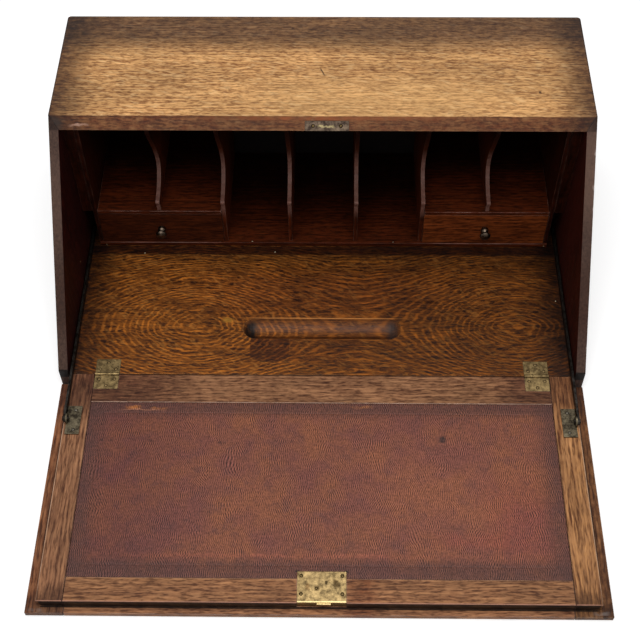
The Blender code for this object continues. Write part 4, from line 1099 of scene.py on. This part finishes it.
class BUREAU_OT_leather(bpy.types.Operator):
    """Lay the leather writing surface into its frame"""

    bl_idname = "bureau.leather"
    bl_label = "Leather"

    def execute(self, context):
        colours, sizes = settings(context)
        low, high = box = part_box("leather_skiver")
        plate_low, plate_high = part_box("lock_plate")
        room = 0.3 * MM
        notch = (plate_low.x - room, plate_high.x + room, plate_high.y + room)
        line = sizes.blind_line
        x = self.grid_lines(low.x, high.x, [low.x + line, high.x - line], notch[:2])
        y = self.grid_lines(low.y, high.y, [low.y + line, high.y - line], notch[2:])
        u, v = np.meshgrid(x, y, indexing="ij")
        # each pressed line is a round trough, and the sheet's edge is pared down to the frame
        inset = np.minimum(np.minimum(u - low.x, high.x - u), np.minimum(v - low.y, high.y - v))
        trough = np.exp(-(((inset - line) / (0.8 * MM)) ** 2))
        pared = np.exp(-inset / (1.2 * MM))
        z = high.z - 0.05 * MM - 0.28 * MM * trough - 0.3 * MM * pared
        points = np.stack([u, v, z], -1)
        quads = grid_quads(len(x), len(y))
        middle = points.reshape(-1, 3)[quads].mean(1)
        cut_out = (middle[:, 0] > notch[0]) & (middle[:, 0] < notch[1]) & (middle[:, 1] < notch[2])
        material = skiver("morocco_skiver", box, colours.leather, self.wear(box, notch))
        sheet = add_piece("leather_sheet", points, quads[~cut_out], "fall", material)
        wall = sheet.modifiers.new("thickness", "SOLIDIFY")
        wall.thickness = 0.6 * MM
        wall.offset = -1.0
        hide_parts("leather_skiver")
        return {"FINISHED"}

    def grid_lines(self, start, end, troughs, edges):
        """Even lines 3 mm apart, closer ones across each pressed line, and one on each edge."""
        even = np.linspace(start, end, round((end - start) / (3 * MM)) + 1)
        close = [trough + np.linspace(-2 * MM, 2 * MM, 9) for trough in troughs]
        rims = [start + np.array([0.4, 1.0, 1.8]) * MM, end - np.array([0.4, 1.0, 1.8]) * MM]
        lines = np.unique(np.concatenate([even, *close, *rims, np.array(edges)]).round(6))
        apart = np.concatenate([[True], np.diff(lines) > 0.15 * MM])
        return np.union1d(lines[apart], np.array(edges).round(6))

    def wear(self, box, notch):
        """The dull band round the sheet, where hands and ink marked it, and its torn edges."""
        half_x = (box[1].x - box[0].x) / 2 / MM
        band = ("4E332E", 0.8)

        def worn(x, y, half, *look):
            return Patch("smear", share_of(box, x, y), (*half, ENDLESS), *look)

        return [
            Patch(
                "stain", share_of(box, -0.27, -0.33), (150, ENDLESS, ENDLESS), "D4CEDE", 0.9, (0.3, 1.1), 0.2
            ),
            worn(0.13, -0.33, (110, 80), "A0604A", 0.25, (0.2, 1.2), 0.8),
            worn(0.215, -0.365, (45, 60), "8E4236", 0.3, (0.2, 1.2), 0.5),
            worn(-0.02, -0.409, (190, 2.6), "A8604A", 0.5, (0.3, 1.2), 1.0),
            worn(0.17, -0.39, (60, 12), "984A3A", 0.3, (0.2, 1.2), 0.8),
            Patch("smear", MIDDLE, (half_x, ENDLESS, ENDLESS), *band, (0.99, 0.885), 0.3),
            Patch("smear", (0.5, 1.0, 0.5), (ENDLESS, 17, ENDLESS), *band, (0.5, 1.4), 0.3),
            Patch("smear", (0.5, 0.0, 0.5), (ENDLESS, 21, ENDLESS), *band, (0.6, 1.25), 0.3),
            # one large blot of ink and three small ones
            worn(0.1365, -0.2663, (4.5, 4.5), "2A2020", 0.85, (0.5, 1.2), 0.2),
            worn(-0.19, -0.27, (4, 2), "2E1C1C", 0.6, (0.3, 1.3), 0.5),
            worn(-0.2465, -0.2695, (1.8, 1.6), "2E1C1C", 0.8, (0.3, 1.3), 0.2),
            worn(-0.113, -0.271, (2.6, 2.2), "2E1C1C", 0.7, (0.3, 1.3), 0.3),
            # the edge by the hinge rail is torn down to raw skin
            worn(-0.2153, -0.2255, (9, 3), "B8703A", 0.95, (0.3, 1.2), 0.6),
            worn(-0.1857, -0.2265, (11, 1.8), "A8683C", 0.9, (0.3, 1.2), 0.8),
            worn(-0.205, -0.2287, (28, 0.8), "C08060", 0.8, (0.3, 1.2), 0.7),
            worn(0.046, -0.2235, (13, 2.2), "A86A3C", 0.8, (0.4, 1.2), 0.9),
            *(
                # the cut corners beside the lock gape
                Patch(
                    "mark", share_of(box, x, notch[2]), (2.4, 1.4, ENDLESS), "160C0A", 0.85, (0.5, 1.2), 0.2
                )
                for x in notch[:2]
            ),
        ]


class BUREAU_OT_hinges(bpy.types.Operator):
    """Finish the butt hinges and drive their screws"""

    bl_idname = "bureau.hinges"
    bl_label = "Hinges"

    def execute(self, context):
        colours, sizes = settings(context)
        brass = (colours.brass, colours.tarnish)
        from_end, from_pin, from_edge = 5.0 * MM, 7.0 * MM, 4.7 * MM
        places = {"floor": [], "fall": []}
        for seed, (word, leaf, bright) in enumerate(
            (
                ("left", "floor", 0.25),
                ("left", "fall", 0.35),
                ("right", "floor", 0.35),
                ("right", "fall", 0.5),
            )
        ):
            name = f"hinge_{word}_{leaf}_leaf"
            low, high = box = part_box(name)
            metal = worn_metal(
                f"{word}_{leaf}_leaf_brass", box, *brass, rubbed=0.6, roughness=0.45, bright_share=bright
            )
            coat(metal, name)
            toward = 1 if leaf == "floor" else -1
            middle = (low.x + high.x) / 2
            reach = (high.x - low.x) / 2 - from_end
            edge = high.y if toward > 0 else low.y
            near = HINGE.y + toward * from_pin
            far = edge - toward * from_edge
            spots = [(middle - reach, near), (middle + reach, near), (middle, far)]
            for (x, y), turn in zip(spots, slot_turns(3, 3 * seed)):
                places[leaf].append(facing_up(x, y, HINGE.z, turn))
        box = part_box("hinge_left_pin")
        pin = worn_metal(
            "hinge_pin_brass", box, *brass, rubbed=0.3, roughness=0.35, bright_share=0.6
        )
        coat(pin, "hinge_left_pin", "hinge_right_pin")
        screw = screw_metal("hinge_screw_steel", "8A7450", "2A2016")
        for leaf, body in (("floor", "carcass"), ("fall", "fall")):
            add_screws(f"hinge_{leaf}_screws", places[leaf], sizes, body, screw)
        return {"FINISHED"}


class BUREAU_OT_lock(bpy.types.Operator):
    """Finish the lock and its strike, and drive their screws"""

    bl_idname = "bureau.lock"
    bl_label = "Lock and strike"

    def execute(self, context):
        colours, sizes = settings(context)
        low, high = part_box("lock_plate")
        pin_at = (0.39, 0.45)
        patches = [
            # dirt round the drill pin, a pit, and two tarnished places
            Patch("stain", (*pin_at, 1.0), (2.6, 2.6, ENDLESS), "4A3A22", 0.85, (0.7, 1.3)),
            Patch("stain", (0.59, 0.64, 1.0), (1.3, 1.3, ENDLESS), "2A2016", 0.9, (0.5, 1.2)),
            Patch("stain", (0.80, 0.60, 1.0), (3.4, 5, ENDLESS), "4E3A22", 0.8, (0.5, 1.2)),
            Patch("stain", (0.21, 0.50, 1.0), (3, 4, ENDLESS), "8A5E30", 0.6, (0.4, 1.2)),
            # the bolt's wear has brightened the front arris, and it is painted brighter still as a highlight
            Patch("mark", (0.5, 0.0, 1.0), (ENDLESS, 1.5, 1.2), "E8D49A", 0.8, broken=0.3),
        ]
        for name, metal, bright, dull, wear, rubbed, roughness, bright_share in (
            ("lock_plate", "brass", colours.brass, colours.tarnish, patches, 0.95, 0.42, 0.6),
            ("lock_bolt", "brass", "D8C08A", colours.tarnish, (), 0.9, 0.35, 0.9),
            ("lock_case", "steel", colours.steel, colours.rust, (), 0.5, 0.5, 0.3),
        ):
            finish = worn_metal(
                f"{name}_{metal}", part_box(name), bright, dull, wear, rubbed, roughness, bright_share
            )
            coat(finish, name)

        from_side, from_back, from_front = 4.0 * MM, 4.5 * MM, 9.3 * MM
        columns = (low.x + from_side, high.x - from_side)
        rows = (low.y + from_front, high.y - from_back)
        spots = [(x, y) for x in columns for y in rows]
        places = [facing_up(x, y, high.z, turn) for (x, y), turn in zip(spots, slot_turns(4, 11))]
        screw = screw_metal("lock_screw_steel", "5E4E32", "1A120A")
        add_screws("lock_screws", places, sizes, "fall", screw)
        pin_x, pin_y = (l + share * (h - l) for l, h, share in zip(low, high, pin_at))
        add_pins("lock_drill_pin", [facing_up(pin_x, pin_y, high.z)], 1.7 * MM, "fall", screw)
        self.strike(sizes, screw)
        return {"FINISHED"}

    def strike(self, sizes, screw):
        """The strike, dull and brown, with a bright line where the bolt has rubbed it, painted bright also
        as a highlight.
        """
        low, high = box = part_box("strike_plate")
        # a bright line: the bolt's rubbing, and a painted highlight along the plate
        line = Patch("smear", (0.48, 0.2, 0.48), (10, ENDLESS, 0.9), "B8A878", 0.7, (0.5, 1.2), 0.5)
        metal = worn_metal(
            "strike_brass", box, "6C5C4C", "382E28", [line], rubbed=0.4, roughness=0.5, bright_share=0.4
        )
        coat(metal, "strike_plate")
        # the front leg lies on the slope, and its screws sit halfway up it
        from_side, up_slope = 9.0 * MM, 5.4 * MM
        middle = (low.x + high.x) / 2
        reach = (high.x - low.x) / 2 - from_side
        corner = Matrix.Translation((middle, low.y, low.z)) @ Matrix.Rotation(SLOPE, 4, "X")
        places = [
            corner @ facing_up(side * reach, up_slope, 0.0, turn)
            for side, turn in zip(SIDES.values(), slot_turns(2, 5))
        ]
        add_screws("strike_screws", places, sizes, "carcass", screw)


class BUREAU_OT_stays(bpy.types.Operator):
    """Finish the stays, their brackets and rivets, and drive the brackets' screws"""

    bl_idname = "bureau.stays"
    bl_label = "Stays"

    def execute(self, context):
        _, sizes = settings(context)
        brackets = [f"stay_bracket_{word}" for word in SIDES]
        moving = [f"stay_{part}_{word}" for part in ("bar", "rivet") for word in SIDES]
        for name, names, bright, dull, bright_share in (
            ("bracket_steel", brackets, "6E6450", "2E2820", 0.4),
            ("stay_steel", moving, "3C3834", "120F0D", 0.3),
        ):
            metal = worn_metal(
                name, box_of(*names), bright, dull, rubbed=0.5, roughness=0.5, bright_share=bright_share
            )
            coat(metal, *names)
        from_end, plate_t, ear_t = 5.5 * MM, 1.4 * MM, 1.8 * MM
        places = []
        for seed, (word, side) in enumerate(SIDES.items(), 20):
            low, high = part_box(f"stay_bracket_{word}")
            outer, inner = (high.x, low.x) if side > 0 else (low.x, high.x)
            x = (outer - side * ear_t + inner) / 2
            for y, turn in zip((low.y + from_end, high.y - from_end), slot_turns(2, seed)):
                places.append(facing_up(x, y, low.z + plate_t, turn))
        screw = screw_metal("bracket_screw_steel", "6E685C", "221C18")
        add_screws("bracket_screws", places, sizes, "fall", screw)
        return {"FINISHED"}


class BUREAU_OT_pins(bpy.types.Operator):
    """Drive the small nails that hold the pigeonhole unit and mark the floor"""

    bl_idname = "bureau.pins"
    bl_label = "Nails"

    def execute(self, context):
        _, sizes = settings(context)
        base_low, base_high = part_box("unit_base")
        floor_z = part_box("floor_board")[1].z
        wall_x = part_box("side_left")[1].x
        forward = Matrix.Rotation(math.pi / 2, 4, "X")
        inward = Matrix.Rotation(math.pi / 2, 4, "Y")
        # driven deep enough to clear the drawers
        base_y, base_z = base_low.y + 2.5 * MM, base_high.z - 0.2 * MM
        front_z = base_low.z + 2.2 * MM
        places = [
            *(facing_up(x, base_y, base_z) for x in (-0.1299, -0.0893, 0.0881)),
            *(Matrix.Translation((x, base_low.y, front_z)) @ forward for x in (-0.2734, 0.2775)),
            facing_up(-0.2242, 0.0028, floor_z),
            facing_up(-0.0604, 0.0054, floor_z),
            facing_up(0.284, -0.070, floor_z),
            Matrix.Translation((wall_x, -0.040, 0.054)) @ inward,
        ]
        metal = screw_metal("nail_steel", "E0D4B8", "6A5640")
        add_pins("nails", places, sizes.pin_radius, "carcass", metal)
        return {"FINISHED"}


class BUREAU_OT_stage(bpy.types.Operator):
    """Set the pale floor, the soft light and the camera"""

    bl_idname = "bureau.stage"
    bl_label = "Stage"

    def execute(self, context):
        self.lay_ground(context)
        self.light_world(context)
        self.hang_lamps(context)
        self.stand_camera(context)
        context.scene.view_settings.view_transform = "Standard"
        return {"FINISHED"}

    def seen(self, tree):
        """1 for the rays that show the background: from the camera, off gloss or through glass."""
        camera, gloss, glass = (
            add_node(tree, "LightPath", {}, f"Is {kind} Ray")
            for kind in ("Camera", "Glossy", "Transmission")
        )
        shown = add_node(tree, "Math", {0: camera, 1: gloss})
        return add_node(tree, "Math", {0: shown, 1: glass}, use_clamp=True)

    def lay_ground(self, context):
        """A flat square sheet, u and v from -3 to 3 m, just under the bureau.

        It is matt white paper, which gives the eye a plain pale ground with soft shadows.
        """
        u, v = np.meshgrid(np.linspace(-3, 3, 2), np.linspace(-3, 3, 2), indexing="ij")
        points = np.stack([u, v, np.full_like(u, CAD_BOUNDS[0][2] - 0.2 * MM)], -1)
        mesh = bpy.data.meshes.new("ground")
        mesh.from_pydata(points.reshape(-1, 3).tolist(), [], grid_quads(2, 2)[:, ::-1].tolist())
        ground = bpy.data.objects.new("ground", mesh)
        context.scene.collection.objects.link(ground)
        material = bpy.data.materials.new("white_paper")
        material.use_nodes = True
        tree = material.node_tree
        glow = add_node(tree, "Math", {0: self.seen(tree), 1: 0.5}, operation="MULTIPLY")
        fill(
            tree,
            tree.nodes["Principled BSDF"],
            {
                "Base Color": rgba("E8E8E8"),
                "Roughness": 0.9,
                "Specular IOR Level": 0.0,
                "Emission Color": rgba("FFFFFF"),
                "Emission Strength": glow,
            },
        )
        mesh.materials.append(material)

    def light_world(self, context):
        """A white world: bright where it is seen, and weak as a light."""
        world = bpy.data.worlds.new("studio")
        context.scene.world = world
        world.use_nodes = True
        tree = world.node_tree
        strength = add_node(tree, "MapRange", {"Value": self.seen(tree), "To Min": 0.22, "To Max": 0.9})
        fill(tree, tree.nodes["Background"], {"Color": rgba("FFFFFF"), "Strength": strength})

    def hang_lamps(self, context):
        """One big softbox overhead and a weaker one before the bureau."""
        for name, place, size, watts in (
            ("overhead", (0.0, -0.35, 1.9), 1.7, 29.0),
            ("front", (-0.5, -2.2, 2.0), 1.2, 5.0),
        ):
            lamp = bpy.data.lights.new(name, "AREA")
            lamp.size = size
            lamp.energy = watts
            obj = bpy.data.objects.new(name, lamp)
            obj.location = place
            obj.rotation_euler = (-Vector(place)).to_track_quat("-Z", "Y").to_euler()
            context.scene.collection.objects.link(obj)

    def stand_camera(self, context):
        """A camera at the photograph's place: high before the bureau, a little turned and tilted."""
        level = Vector((math.sin(CAMERA_YAW), math.cos(CAMERA_YAW), 0.0))
        ahead = level * math.cos(CAMERA_PITCH) - Vector((0.0, 0.0, math.sin(CAMERA_PITCH)))
        right = Vector((math.cos(CAMERA_YAW), -math.sin(CAMERA_YAW), 0.0))
        up = right.cross(ahead)
        tilted_right = right * math.cos(CAMERA_ROLL) + up * math.sin(CAMERA_ROLL)
        tilted_up = up * math.cos(CAMERA_ROLL) - right * math.sin(CAMERA_ROLL)
        camera = bpy.data.cameras.new("camera")
        camera.lens = context.scene.bureau_sizes.lens
        camera.sensor_width = 36.0
        obj = bpy.data.objects.new("camera", camera)
        turn = Matrix((tilted_right, tilted_up, -ahead)).transposed().to_4x4()
        obj.matrix_world = Matrix.Translation(CAMERA_PLACE) @ turn
        context.scene.collection.objects.link(obj)
        context.scene.camera = obj


STEPS = (
    BUREAU_OT_carcass,
    BUREAU_OT_floor,
    BUREAU_OT_pigeonholes,
    BUREAU_OT_drawers,
    BUREAU_OT_fall,
    BUREAU_OT_leather,
    BUREAU_OT_hinges,
    BUREAU_OT_lock,
    BUREAU_OT_stays,
    BUREAU_OT_pins,
    BUREAU_OT_stage,
)


class BUREAU_PT_panel(bpy.types.Panel):
    """Lists the bureau's steps in the sidebar"""

    bl_idname = "BUREAU_PT_panel"
    bl_label = "Writing bureau"
    bl_space_type = "VIEW_3D"
    bl_region_type = "UI"
    bl_category = "Bureau"

    def draw(self, context):
        for step in STEPS:
            self.layout.operator(step.bl_idname)
        for group in settings(context):
            for key in group.bl_rna.properties.keys():
                if key not in ("rna_type", "name"):
                    self.layout.prop(group, key)


CLASSES = (BureauColours, BureauSizes, *STEPS, BUREAU_PT_panel)


def register():
    """Registers the classes, and hangs the settings on the scene."""
    for made in CLASSES:
        bpy.utils.register_class(made)
    bpy.types.Scene.bureau_colours = bpy.props.PointerProperty(type=BureauColours)
    bpy.types.Scene.bureau_sizes = bpy.props.PointerProperty(type=BureauSizes)


def unregister():
    """Takes away what register adds."""
    del bpy.types.Scene.bureau_sizes
    del bpy.types.Scene.bureau_colours
    for made in reversed(CLASSES):
        bpy.utils.unregister_class(made)


def main():
    """Runs the steps in order."""
    register()
    for step in STEPS:
        group, name = step.bl_idname.split(".")
        getattr(getattr(bpy.ops, group), name)()


if __name__ == "__main__":
    main()
